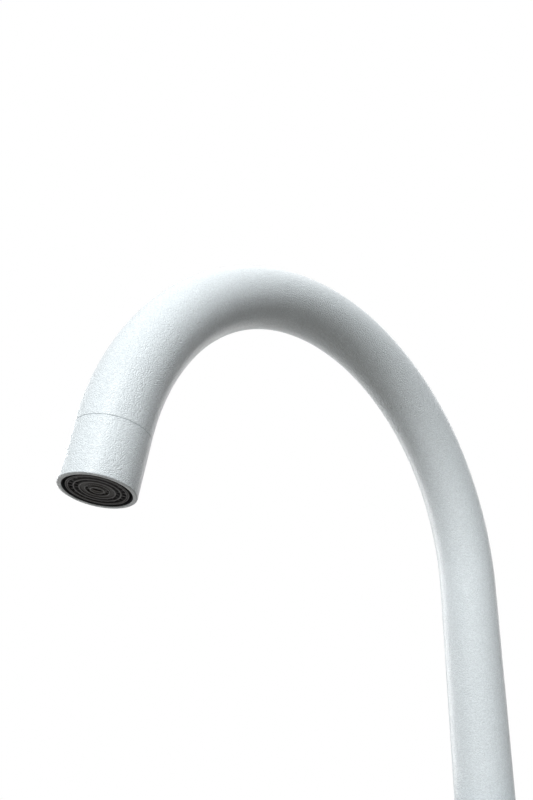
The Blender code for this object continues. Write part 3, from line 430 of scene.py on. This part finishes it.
def to_the_back(height):
    """A place on the body's axis, with its local Z axis pointing to the back of the tap."""
    return Matrix.Translation((0, 0, height)) @ Matrix.Rotation(-math.pi / 2, 4, "X")


def twist(degrees, place=None):
    """Turns a piece a little about its own axis, so that its edges don't run along those of what it meets."""
    return (place or Matrix()) @ Matrix.Rotation(math.radians(degrees), 4, "Z")


# Modelling


def deselect():
    if bpy.context.object and bpy.context.object.mode != "OBJECT":
        bpy.ops.object.mode_set(mode="OBJECT")
    bpy.ops.object.select_all(action="DESELECT")


def choose(obj):
    deselect()
    obj.select_set(True)
    bpy.context.view_layer.objects.active = obj


def edit(obj):
    choose(obj)
    bpy.ops.object.mode_set(mode="EDIT")
    bpy.ops.mesh.select_all(action="SELECT")


def leave_edit():
    bpy.ops.object.mode_set(mode="OBJECT")


def finish_edit():
    """Turns all faces outwards and leaves edit mode."""
    bpy.ops.mesh.select_all(action="SELECT")
    bpy.ops.mesh.normals_make_consistent(inside=False)
    leave_edit()


def put(obj, place):
    """Moves a piece to its place and keeps that place in its mesh."""
    choose(obj)
    obj.matrix_world = place @ obj.matrix_world
    bpy.ops.object.transform_apply(location=True, rotation=True, scale=True)


def start(name):
    """Names the object that was just added."""
    obj = bpy.context.object
    obj.name = name
    obj.data.name = name
    return obj


def ring(name, facets, radius, height):
    """A circle of edges to extrude from, in edit mode."""
    deselect()
    bpy.ops.mesh.primitive_circle_add(vertices=facets, radius=radius, location=(0, 0, height))
    obj = start(name)
    bpy.ops.object.transform_apply(location=True)
    edit(obj)
    return obj


def block(name, middle, size):
    """A block of a given size round a point."""
    deselect()
    bpy.ops.mesh.primitive_cube_add(size=1, location=middle)
    obj = start(name)
    obj.scale = size
    bpy.ops.object.transform_apply(location=True, scale=True)
    return obj


def extrude(move):
    bpy.ops.mesh.extrude_edges_move(TRANSFORM_OT_translate={"value": move})


def extrude_to(radius, height, next_radius, next_height):
    """Extrudes the chosen ring of edges from one point of a profile to the next."""
    extrude((0, 0, next_height - height))
    if abs(next_radius - radius) > 1e-9:
        scale = next_radius / radius
        bpy.ops.transform.resize(value=(scale, scale, 1), center_override=(0, 0, next_height))


def turned(name, profile, place=None, facets=None):
    """A turned piece: a circle is extruded and scaled from point to point of the (radius, height) profile.
    A profile that ends on the axis is closed there, and any other is bridged back to its start."""
    (radius, height), *rest = [point for point in profile if point[0] > 0]
    obj = ring(name, facets or bpy.context.scene.tap_stage.facets, radius, height)
    if profile[0][0] == 0:
        extrude((0, 0, 0))
        bpy.ops.mesh.merge(type="CENTER")
        if profile[0][1] != height:
            bpy.ops.transform.translate(value=(0, 0, profile[0][1] - height))
        bpy.ops.mesh.select_all(action="DESELECT")
        bpy.ops.mesh.select_non_manifold(extend=False)
    for next_radius, next_height in rest:
        extrude_to(radius, height, next_radius, next_height)
        radius, height = next_radius, next_height
    if profile[-1][0] == 0:
        extrude((0, 0, profile[-1][1] - height))
        bpy.ops.mesh.merge(type="CENTER")
    elif profile[0][0] != 0:
        bpy.ops.mesh.select_non_manifold(extend=False)
        bpy.ops.mesh.bridge_edge_loops()
    finish_edit()
    if place:
        put(obj, place)
    return obj


def bar(name, radius, low, high, place=None, facets=None):
    """A plain bar between two heights."""
    return turned(name, [(0, high), (radius, high), (radius, low), (0, low)], place, facets)


def arc(middle_radius, middle_height, radius, first, last, steps=6):
    """Points of a rounded corner. Angles are in degrees from the outward direction."""
    angles = [math.radians(first + (last - first) * i / steps) for i in range(steps + 1)]
    return [(middle_radius + radius * math.cos(a), middle_height + radius * math.sin(a)) for a in angles]


def top_corner(radius, height, rounding, steps=6):
    """Points of the rounded outer corner at the top of a profile."""
    return arc(radius - rounding, height - rounding, rounding, 90, 0, steps)


def ball_arc(radius, low, high, steps):
    """Points of a ball's outline between two heights from its middle."""
    first, last = math.asin(low / radius), math.asin(high / radius)
    angles = [first + (last - first) * i / steps for i in range(steps + 1)]
    return [(radius * math.cos(a), radius * math.sin(a)) for a in angles]


def apply(obj, kind, **settings):
    """Adds a modifier and applies it."""
    choose(obj)
    modifier = obj.modifiers.new(kind.title(), kind)
    for name, value in settings.items():
        setattr(modifier, name, value)
    bpy.ops.object.modifier_apply(modifier=modifier.name)


def combine(obj, tool, operation):
    """Combines a piece with a tool, which is then removed."""
    apply(obj, "BOOLEAN", operation=operation, object=tool, solver="EXACT")
    bpy.data.objects.remove(tool, do_unlink=True)


def cut(obj, tool):
    combine(obj, tool, "DIFFERENCE")


def close_up(obj):
    """Closes the hairline gaps that cutting leaves where a cut runs along an edge."""
    edit(obj)
    bpy.ops.mesh.remove_doubles(threshold=MERGED)
    bpy.ops.mesh.dissolve_degenerate(threshold=MERGED)
    bpy.ops.mesh.select_all(action="DESELECT")
    bpy.ops.mesh.select_non_manifold(extend=False, use_wire=False)
    bpy.ops.mesh.fill_holes(sides=8)
    finish_edit()


def round_edges(obj, width, segments=3, angle=40):
    """Rounds the edges that are sharper than an angle."""
    sharp = {"limit_method": "ANGLE", "angle_limit": math.radians(angle)}
    apply(obj, "BEVEL", width=width, segments=segments, use_clamp_overlap=True, harden_normals=False, **sharp)


def dress(obj, body, slot, node, angle=32):
    """Finishes a piece: it gets its material, rides on its body and stands for the node that it replaces."""
    choose(obj)
    obj.data.materials.clear()
    obj.data.materials.append(FINISHES[slot])
    bpy.ops.object.shade_smooth_by_angle(angle=math.radians(angle))
    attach(obj, body)
    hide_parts(node)


class MESH_OT_tap_spout(bpy.types.Operator):
    """Model the bent tube of the spout and the ring that it turns in"""

    bl_idname = "mesh.tap_spout"
    bl_label = "Spout tube"

    def execute(self, context):
        tap = sizes()
        self.tube(tap, context.scene.tap_stage.facets)
        self.guide_ring(tap)
        return {"FINISHED"}

    def tube(self, tap, facets):
        straight_parts, bend_parts = 4, 110
        foot, _ = span("spout_tube", "z")
        tube = ring("spout_tube_skin", facets, tap.tube_radius, foot)
        for _ in range(straight_parts):
            extrude((0, 0, (tap.bend_start - foot) / straight_parts))
        middle = (0, -tap.bend_radius, tap.bend_start)
        bpy.ops.mesh.spin(steps=bend_parts, angle=tap.bend_sweep, center=middle, axis=(-1, 0, 0))
        _, along = mouth_place()
        extrude(along * (tap.tube_tail + GAP - tap.seam))
        bpy.ops.mesh.select_all(action="SELECT")
        bpy.ops.mesh.remove_doubles(threshold=MERGED)
        finish_edit()
        apply(tube, "SOLIDIFY", thickness=tap.tube_wall, offset=-1, use_even_offset=True, use_rim=True)
        round_edges(tube, SEAM_EDGE, 2, 60)
        dress(tube, "spout", "coating", "spout_tube")

    def guide_ring(self, tap):
        """The ring's flange shows between the tube and the body, and its sleeve goes down into the body."""
        inner, outer = tap.tube_radius + GAP, reach("spout_guide_ring", "x")
        sleeve = inner + 0.0009
        foot, top = span("spout_guide_ring", "z")
        under = tap.body_top + GAP
        profile = [(inner, top), *top_corner(outer, top, 0.0003, 3), (outer, under), (sleeve, under)]
        profile += [(sleeve, foot), (inner, foot)]
        guide = turned("spout_guide_ring_skin", profile)
        dress(guide, "tap", "black_plastic", "spout_guide_ring")


class MESH_OT_tap_outlet(bpy.types.Operator):
    """Model the outlet's collar and the aerator in it"""

    bl_idname = "mesh.tap_outlet"
    bl_label = "Outlet and aerator"

    def execute(self, context):
        self.collar(sizes())
        self.housing()
        self.face()
        return {"FINISHED"}

    def collar(self, tap):
        """The collar: its rim is rounded, and a ledge inside it carries the flat seal."""
        outer, bore, top = tap.tube_radius, tap.tube_radius - tap.collar_wall, tap.collar_length
        rim_outside, rim_inside = 0.0005, 0.0002
        ledge, ledge_low, ledge_high = 0.0102, 0.0110, 0.0124
        profile = [(outer - SEAM_EDGE, top), (outer, top - SEAM_EDGE), (outer, 0.0105)]
        profile += arc(outer - rim_outside, rim_outside, rim_outside, 0, -90)
        profile += arc(bore + rim_inside, rim_inside, rim_inside, -90, -180)
        profile += [(bore, ledge_low), (ledge, ledge_low), (ledge, ledge_high), (bore, ledge_high)]
        profile.append((bore, top))
        dress(turned("outlet_collar_skin", profile, at_mouth()), "spout", "coating", "outlet_collar")

    def housing(self):
        """The aerator's body: its thin skirt lines the collar, and its ledge carries the face."""
        outer, skirt, ledge = 0.01232, 0.01210, 0.0106
        mouth, ledge_low, top = 0.00020, 0.0028, 0.0093
        profile = [(outer, top), (outer, mouth), (skirt, mouth)]
        profile += [(skirt, ledge_low), (ledge, ledge_low), (ledge, top)]
        housing = turned("aerator_housing_skin", profile, at_mouth())
        dress(housing, "spout", "black_plastic", "aerator_housing")

    def face(self):
        """The face: a disc of ridges and grooves. The cells are taken out of three of the grooves before the
        disc gets its thickness, and its innermost edge is narrowed to a slot."""
        facets = 240
        ridge, low_ridge, groove, deep, back = 0.00028, 0.00038, 0.00055, 0.00075, 0.0025
        slot_shape = (1.22, 0.45, 1)
        outline = [(0.01106, 0.00050), (0.01098, ridge), (0.01072, ridge), (0.01066, groove)]
        outline += [(0.01040, groove), (0.01034, ridge), (0.01006, ridge), (0.00998, deep)]
        outline += [(0.00858, deep), (0.00835, ridge), (0.00800, ridge), (0.00780, deep)]
        outline += [(0.00665, deep), (0.00640, ridge), (0.00605, ridge), (0.00595, groove)]
        outline += [(0.00450, groove), (0.00440, low_ridge), (0.00412, low_ridge), (0.00402, deep)]
        outline += [(0.00320, deep), (0.00262, groove), (0.00254, ridge), (0.00224, ridge)]
        outline += [(0.00214, groove), (0.00160, groove)]
        (radius, height), *rest = outline
        disc = ring("aerator_face_skin", facets, radius, height)
        for next_radius, next_height in rest:
            extrude_to(radius, height, next_radius, next_height)
            radius, height = next_radius, next_height
        bpy.ops.transform.resize(value=slot_shape, center_override=(0, 0, 0))
        self.open_cells(disc, facets)
        bpy.ops.mesh.select_all(action="SELECT")
        bpy.ops.mesh.extrude_region_move(TRANSFORM_OT_translate={"value": (0, 0, back)})
        bpy.ops.transform.resize(value=(1, 1, 0), center_override=(0, 0, back))
        finish_edit()
        put(disc, at_mouth() @ Matrix.Rotation(math.radians(60), 4, "Z"))
        dress(disc, "spout", "grey_plastic", "aerator_face", angle=25)

    def open_cells(self, disc, facets):
        """Takes the cells out of three grooves and leaves the webs between them. Each row is a groove's inner
        and outer radius, its number of cells, and the facets that a web takes."""
        leave_edit()
        shaded_grooves = ((0.00858, 0.00998, 24, 3), (0.00665, 0.00780, 20, 3), (0.00320, 0.00402, 12, 9))
        for face in disc.data.polygons:
            x, y, _ = face.center
            radius, turn = math.hypot(x, y), (math.atan2(y, x) % math.tau) / math.tau * facets
            face.select = any(
                inner < radius < outer and turn % (facets / cells) >= web
                for inner, outer, cells, web in shaded_grooves
            )
        bpy.ops.object.mode_set(mode="EDIT")
        bpy.ops.mesh.select_mode(type="FACE")
        bpy.ops.mesh.delete(type="FACE")
        bpy.ops.mesh.select_mode(type="VERT")


class MESH_OT_tap_body(bpy.types.Operator):
    """Model the body, its base ring and gasket, and the stop screw at its back"""

    bl_idname = "mesh.tap_body"
    bl_label = "Body"

    def execute(self, context):
        tap = sizes()
        self.casting(tap)
        self.base(tap)
        self.stop_screw()
        return {"FINISHED"}

    def casting(self, tap):
        """The body with its boss, and then the holes that open to the outside."""
        facets = 128
        under, under_edge = tap.base_height + GAP, 0.0004
        spigot, spigot_end, spigot_edge = 0.0165, -0.002, 0.0003
        outline = [(0, tap.body_top), *top_corner(tap.body_radius, tap.body_top, 0.0015)]
        outline += [(tap.body_radius, under + under_edge), (tap.body_radius - under_edge, under)]
        outline += [(spigot, under), (spigot, spigot_end + spigot_edge)]
        outline += [(spigot - spigot_edge, spigot_end), (0, spigot_end)]
        body = turned("tap_body_skin", outline, twist(0.7), facets)
        boss = [(0, tap.boss_end), *top_corner(tap.boss_radius, tap.boss_end, 0.0008)]
        boss += [(tap.boss_radius, 0.004), (0, 0.004)]
        combine(body, turned("boss", boss, twist(1.3, at_lever()), facets), "UNION")
        self.soften_junction(body, tap)
        socket, socket_floor, above = tap.tube_radius + 0.0015, tap.body_top - 0.018, 0.14
        waterway, waterway_floor = 0.0109, 0.0774
        bore = [(0, above), (socket, above), (socket, socket_floor), (waterway, socket_floor)]
        bore += [(waterway, waterway_floor), (0, waterway_floor)]
        cut(body, turned("socket", bore, twist(1.6)))
        pocket = [(0, 0.05), (0.0153, 0.05), (0.0153, 0.021), (0.013, 0.021), (0.013, 0.016), (0, 0.016)]
        cut(body, turned("pocket", pocket, twist(0.9, at_lever())))
        screw_way = twist(2.3, to_the_back(socket_floor - 0.0035))
        cut(body, bar("screw_hole", 0.0027, 0.005, 0.04, screw_way, 48))
        for side in (-0.0085, 0.0085):
            port = twist(1.9, Matrix.Translation((-0.005, side, 0)))
            cut(body, turned("port", self.threaded_port(), port, 48))
        cut(body, bar("stud_hole", STUD_HOLE, -0.01, 0.013, twist(2.9, at_stud()), 48))
        close_up(body)
        dress(body, "tap", "coating", "tap_body", angle=28)

    def threaded_port(self):
        """A port with the ridges of its thread and a chamfered mouth."""
        crest, root, pitch, end = 0.0043, 0.0047, 0.001, 0.012
        profile = [(0, end), (0.0044, end)]
        height = end - pitch / 2
        while height > -0.0008:
            profile += [(root, height), (crest, height - pitch / 2)]
            height -= pitch
        return [*profile, (0.0048, -0.0014), (0.0053, -0.003), (0, -0.003)]

    def soften_junction(self, body, tap):
        """Rounds the inner corner where the boss leaves the body, as a casting has it."""
        near = 0.00025
        edit(body)
        bpy.ops.mesh.select_all(action="DESELECT")
        leave_edit()
        for edge in body.data.edges:
            ends = [body.data.vertices[i].co for i in edge.vertices]
            edge.select = all(
                abs(math.hypot(end.x, end.y) - tap.body_radius) < near
                and abs(math.hypot(end.y, end.z - tap.lever_height) - tap.boss_radius) < near
                and end.x > 0
                for end in ends
            )
        bpy.ops.object.mode_set(mode="EDIT")
        bpy.ops.mesh.select_mode(type="EDGE")
        bpy.ops.mesh.bevel(offset=0.0012, offset_type="OFFSET", segments=4, profile=0.5, clamp_overlap=True)
        bpy.ops.mesh.select_mode(type="VERT")
        leave_edit()

    def base(self, tap):
        """The base ring, with a groove under it, and the gasket that lies in the groove."""
        bore, foot_edge = 0.0168, 0.0002
        groove_inner, groove_outer, groove_top = 0.021, 0.0252, 0.002
        profile = [(bore, tap.base_height), *top_corner(tap.base_radius, tap.base_height, 0.002)]
        profile += [(tap.base_radius, foot_edge), (tap.base_radius - foot_edge, 0), (groove_outer, 0)]
        profile += [(groove_outer, groove_top), (groove_inner, groove_top), (groove_inner, 0), (bore, 0)]
        dress(turned("base_ring_skin", profile, facets=128), "tap", "coating", "base_ring")
        low, high = span("base_gasket", "z")
        inner, outer = 0.0213, reach("base_gasket", "y")
        gasket = turned("base_gasket_skin", [(outer, high), (outer, low), (inner, low), (inner, high)])
        round_edges(gasket, 0.0003)
        dress(gasket, "tap", "rubber", "base_gasket")

    def stop_screw(self):
        """The grub screw at the back, with its point and its hexagon socket."""
        low, high = span("swivel_stop_screw", "y")
        place = to_the_back(sum(span("swivel_stop_screw", "z")) / 2)
        thread, point, point_start, edge = 0.0024, 0.0017, low + 0.003, 0.0003
        profile = [(0, high), (thread - edge, high), (thread, high - edge), (thread, point_start)]
        profile += [(point, point_start), (point, low + edge), (point - edge, low), (0, low)]
        screw = turned("swivel_stop_screw_skin", profile, place, 48)
        cut(screw, bar("hexagon_socket", 0.0014, high - 0.0025, high + 0.001, place, 6))
        dress(screw, "tap", "steel", "swivel_stop_screw")


class MESH_OT_tap_lever(bpy.types.Operator):
    """Model the dome, the lever's hub and its rod, and the plug over the set screw"""

    bl_idname = "mesh.tap_lever"
    bl_label = "Lever"

    def execute(self, context):
        tap = sizes()
        self.dome(tap)
        self.hub(tap)
        self.rod(tap)
        self.plug(tap)
        return {"FINISHED"}

    def dome(self, tap):
        wall, mouth = 0.0016, 0.0092
        outer, inner = tap.dome_radius, tap.dome_radius - wall
        neck = tap.boss_end + GAP - tap.pivot
        profile = ball_arc(outer, math.sqrt(outer**2 - mouth**2), neck, 36)
        profile += ball_arc(inner, neck, math.sqrt(inner**2 - mouth**2), 20)
        dress(turned("dome_cap_skin", profile, at_lever(tap.pivot), 128), "tap", "coating", "dome_cap")

    def hub(self, tap):
        """The hub is hollow over the dome. It has a square hole for the stem, and holes for rod and plug."""
        radius, rim, end, rounding, rim_edge = tap.hub_radius, 0.003, 0.026, 0.003, 0.0004
        cavity = tap.dome_radius + 0.0006
        stem, stem_end = 0.0071, 0.0237
        profile = [(0, end), *top_corner(radius, end, rounding, 8)]
        profile += arc(radius - rim_edge, rim + rim_edge, rim_edge, 0, -90, 3)
        profile += [*ball_arc(cavity, rim, cavity * 0.9995, 24)[:-1], (0, cavity)]
        hub = turned("lever_hub_skin", profile, twist(0.8, at_lever(tap.pivot)), 128)
        stem_hole = block("stem_hole", (0, 0, stem_end / 2), (stem, stem, stem_end))
        put(stem_hole, at_lever(tap.pivot) @ Matrix.Rotation(-STEM_LEAN, 4, "Y"))
        cut(hub, stem_hole)
        cut(hub, bar("rod_hole", tap.rod_radius + GAP, 0.0145, 0.03, twist(1.7, at_rod()), 64))
        cut(hub, bar("plug_hole", 0.0023, -0.003, 0.03, twist(2.1, at_plug()), 48))
        close_up(hub)
        dress(hub, "lever", "coating", "lever_hub", angle=28)

    def rod(self, tap):
        tip, end, foot = 0.0038, 0.085, 0.0148
        profile = [(0, end), *arc(0, end - tip, tip, 84, 0, 10), (tap.rod_radius, tap.hub_radius)]
        profile += [(tap.rod_radius, foot), (0, foot)]
        dress(turned("lever_rod_skin", profile, at_rod(), 64), "lever", "coating", "lever_rod")

    def plug(self, tap):
        """The plug is set back a little from the hub's surface, and its face is slightly crowned."""
        radius, rounding = 0.002, 0.0003
        face, foot = tap.hub_radius - GAP, tap.hub_radius - GAP - 0.004
        profile = [(0, face), (0.0012, face - 0.00004), *top_corner(radius, face - 0.0001, rounding, 3)]
        profile += [(radius, foot), (0, foot)]
        dress(turned("hot_cold_plug_skin", profile, at_plug(), 48), "lever", "index_plastic", "hot_cold_plug")


class MESH_OT_tap_fixing(bpy.types.Operator):
    """Model the stud, the horseshoe plate and its gasket, and the nut under the worktop"""

    bl_idname = "mesh.tap_fixing"
    bl_label = "Fixing"

    def execute(self, context):
        self.stud(sizes().stud_pitch)
        self.nut()
        self.horseshoe("clamp_gasket", "rubber", 0.00035)
        self.horseshoe("clamp_plate", "steel", 0.00025)
        return {"FINISHED"}

    def stud(self, pitch):
        """The thread is a row of ridges, one for each turn."""
        low, high = span("fixing_stud", "z")
        outer, chamfer = 0.004, 0.0006
        root = outer - 0.613 * pitch
        profile = [(0, high), (root, high)]
        height = high - chamfer
        while height - pitch > low + 0.001:
            profile += [(outer, height), (outer, height - pitch / 8), (root, height - 0.55 * pitch)]
            height -= pitch
        profile += [(root, low + chamfer), (root - chamfer, low), (0, low)]
        dress(turned("fixing_stud_skin", profile, at_stud(), 36), "tap", "steel", "fixing_stud", angle=50)

    def nut(self):
        """A hexagon, with its corners chamfered at both ends."""
        low, high = span("fixing_nut", "z")
        left, right = span("fixing_nut", "x")
        radius = (right - left) / 2
        nut = bar("fixing_nut_skin", radius, low, high, at_stud(), 6)
        flat, past, chamfer = radius * math.cos(math.pi / 6), radius + 0.001, 0.0016
        blank = [(0, high), (flat, high), (past, high - chamfer)]
        blank += [(past, low + chamfer), (flat, low), (0, low)]
        combine(nut, turned("blank", blank, at_stud(), 96), "INTERSECT")
        cut(nut, bar("bore", STUD_HOLE, -0.09, 0, at_stud(), 48))
        round_edges(nut, 0.00012, 2, 25)
        dress(nut, "tap", "brass", "fixing_nut", angle=25)

    def horseshoe(self, node, slot, rounding):
        """A round plate with a wide slot for the hoses and a hole for the stud, and softened edges."""
        low, high = span(node, "z")
        below, above = low - 0.01, high + 0.01
        radius, half_slot, slot_length = 0.024, 0.012, 0.030
        slot_end = 0.002 - half_slot
        plate = bar(node + "_skin", radius, low, high, facets=128)
        cut(plate, bar("slot_end", half_slot, below, above, Matrix.Translation((slot_end, 0, 0)), 96))
        middle = (slot_end - slot_length / 2, 0, (low + high) / 2)
        cut(plate, block("slot", middle, (slot_length, 2 * half_slot, 0.02)))
        cut(plate, bar("bore", STUD_HOLE, below, above, at_stud(), 48))
        round_edges(plate, rounding, 2, 50)
        dress(plate, "tap", slot, node, angle=40)


class MESH_OT_tap_inner(bpy.types.Operator):
    """Give the pieces inside the tap, which keep their shapes, their materials"""

    bl_idname = "mesh.tap_inner"
    bl_label = "Inner pieces"

    def execute(self, context):
        slots = {entry["node"]: entry["material_slot"] for entry in frame["record"]["subparts"]}
        for name, node in frame["nodes"].items():
            node.data.materials.clear()
            node.data.materials.append(FINISHES[slots[name]])
        return {"FINISHED"}


class SCENE_OT_tap_stage(bpy.types.Operator):
    """Add the floor, the lamps, the pale surroundings and the camera"""

    bl_idname = "scene.tap_stage"
    bl_label = "Stage"

    def execute(self, context):
        stage = context.scene.tap_stage
        self.floor(stage)
        self.surroundings(context.scene)
        self.lamp("key_lamp", (0.75, -1.35, 1.1), 1.0, stage.key_power)
        self.lamp("left_lamp", (-1.5, 0.1, 0.5), 0.9, stage.left_power)
        self.lamp("top_lamp", (0.0, -0.1, 1.7), 2.0, stage.top_power)
        self.lamp("back_lamp", (-0.5, 1.5, 0.9), 1.2, stage.back_power)
        self.camera(context.scene, stage)
        context.scene.view_settings.view_transform = "Standard"
        return {"FINISHED"}

    def floor(self, stage):
        """A pale floor that keeps the tap's shadow. To the eye it fades to white away from the tap, and it is
        seen through from below."""
        fade_start, fade_end = 0.25, 0.95
        thrown_on_the_tap = (0.205, 0.192, 0.178)
        deselect()
        middle = (0, -0.1, CAD_BOX[0][2] - stage.floor_drop)
        bpy.ops.mesh.primitive_plane_add(size=6, location=middle)
        floor = start("floor")
        bpy.ops.object.transform_apply(location=True)
        made = Finish("pale_floor", {"Roughness": 0.6, "Specular IOR Level": 0.2})
        seen = made.to_the_eye()
        pale = made.blend(made.noise(0.35, 3.0), (0.80, 0.80, 0.80), (0.83, 0.83, 0.83))
        made.set("Base Color", made.blend(seen, thrown_on_the_tap, pale))
        values = {0: made.distance(middle), 1: fade_start, 2: fade_end}
        away = made.node("MapRange", {"interpolation_type": "SMOOTHSTEP"}, values)
        white = made.node("Emission", {}, {"Color": (1, 1, 1, 1)})
        clear = made.node("BsdfTransparent")
        under = made.node("NewGeometry", output="Backfacing")
        surface = Value(made, made.shader.outputs[0])
        above = made.node("MixShader", {}, {0: away * seen, 1: surface, 2: white})
        out = made.node("MixShader", {}, {0: under, 1: above, 2: clear})
        made.tree.links.new(out.socket, made.tree.nodes["Material Output"].inputs["Surface"])
        floor.data.materials.append(made.material)

    def surroundings(self, scene):
        """White to the eye and in reflections. The lamps alone light the tap."""
        scene.world = bpy.data.worlds.new("pale_surroundings")
        scene.world.use_nodes = True
        made = Nodes(scene.world.node_tree)
        background = made.tree.nodes["Background"]
        background.inputs["Color"].default_value = (1, 1, 1, 1)
        made.tree.links.new(made.to_the_eye().socket, background.inputs["Strength"])

    def lamp(self, name, place, size, energy):
        """A square lamp that faces the middle of the spout."""
        spout_middle = Vector((0, -0.11, 0.22))
        deselect()
        turn = (Vector(place) - spout_middle).to_track_quat("Z", "Y").to_euler()
        bpy.ops.object.light_add(type="AREA", location=place, rotation=turn)
        lamp = start(name)
        lamp.data.shape = "SQUARE"
        lamp.data.size = size
        lamp.data.energy = energy

    def camera(self, scene, stage):
        """The camera is close under the outlet and looks up at the bend, turned a little about its axis."""
        right = Vector((0.71276, 0.70119, 0.01745))
        up = Vector((0.27268, -0.29993, 0.91416))
        turn = Matrix((right, up, right.cross(up))).transposed()
        deselect()
        bpy.ops.object.camera_add(location=(0.232858, -0.383040, 0.131992), rotation=turn.to_euler())
        camera = start("camera")
        camera.data.sensor_width = 36
        camera.data.lens = stage.focal_length
        camera.data.clip_start = 0.01
        scene.camera = camera


OPERATORS = (
    MESH_OT_tap_inner,
    MESH_OT_tap_spout,
    MESH_OT_tap_outlet,
    MESH_OT_tap_body,
    MESH_OT_tap_lever,
    MESH_OT_tap_fixing,
    SCENE_OT_tap_stage,
)


class VIEW3D_PT_tap(bpy.types.Panel):
    """Lists the tap's operators and settings"""

    bl_idname = "VIEW3D_PT_tap"
    bl_label = "Kitchen mixer tap"
    bl_space_type = "VIEW_3D"
    bl_region_type = "UI"
    bl_category = "Tap"

    def draw(self, context):
        for operator in OPERATORS:
            self.layout.operator(operator.bl_idname)
        for group in (context.scene.tap_sizes, context.scene.tap_finishes, context.scene.tap_stage):
            for name in group.__annotations__:
                self.layout.prop(group, name)


CLASSES = (TapSizes, TapFinishes, TapStage, *OPERATORS, VIEW3D_PT_tap)


def register():
    for item in CLASSES:
        bpy.utils.register_class(item)
    bpy.types.Scene.tap_sizes = PointerProperty(type=TapSizes)
    bpy.types.Scene.tap_finishes = PointerProperty(type=TapFinishes)
    bpy.types.Scene.tap_stage = PointerProperty(type=TapStage)


def unregister():
    for name in ("tap_sizes", "tap_finishes", "tap_stage"):
        delattr(bpy.types.Scene, name)
    for item in reversed(CLASSES):
        bpy.utils.unregister_class(item)


def main():
    register()
    FINISHES.update(make_finishes())
    bpy.ops.mesh.tap_inner()
    bpy.ops.mesh.tap_spout()
    bpy.ops.mesh.tap_outlet()
    bpy.ops.mesh.tap_body()
    bpy.ops.mesh.tap_lever()
    bpy.ops.mesh.tap_fixing()
    bpy.ops.scene.tap_stage()
    deselect()


if __name__ == "__main__":
    main()
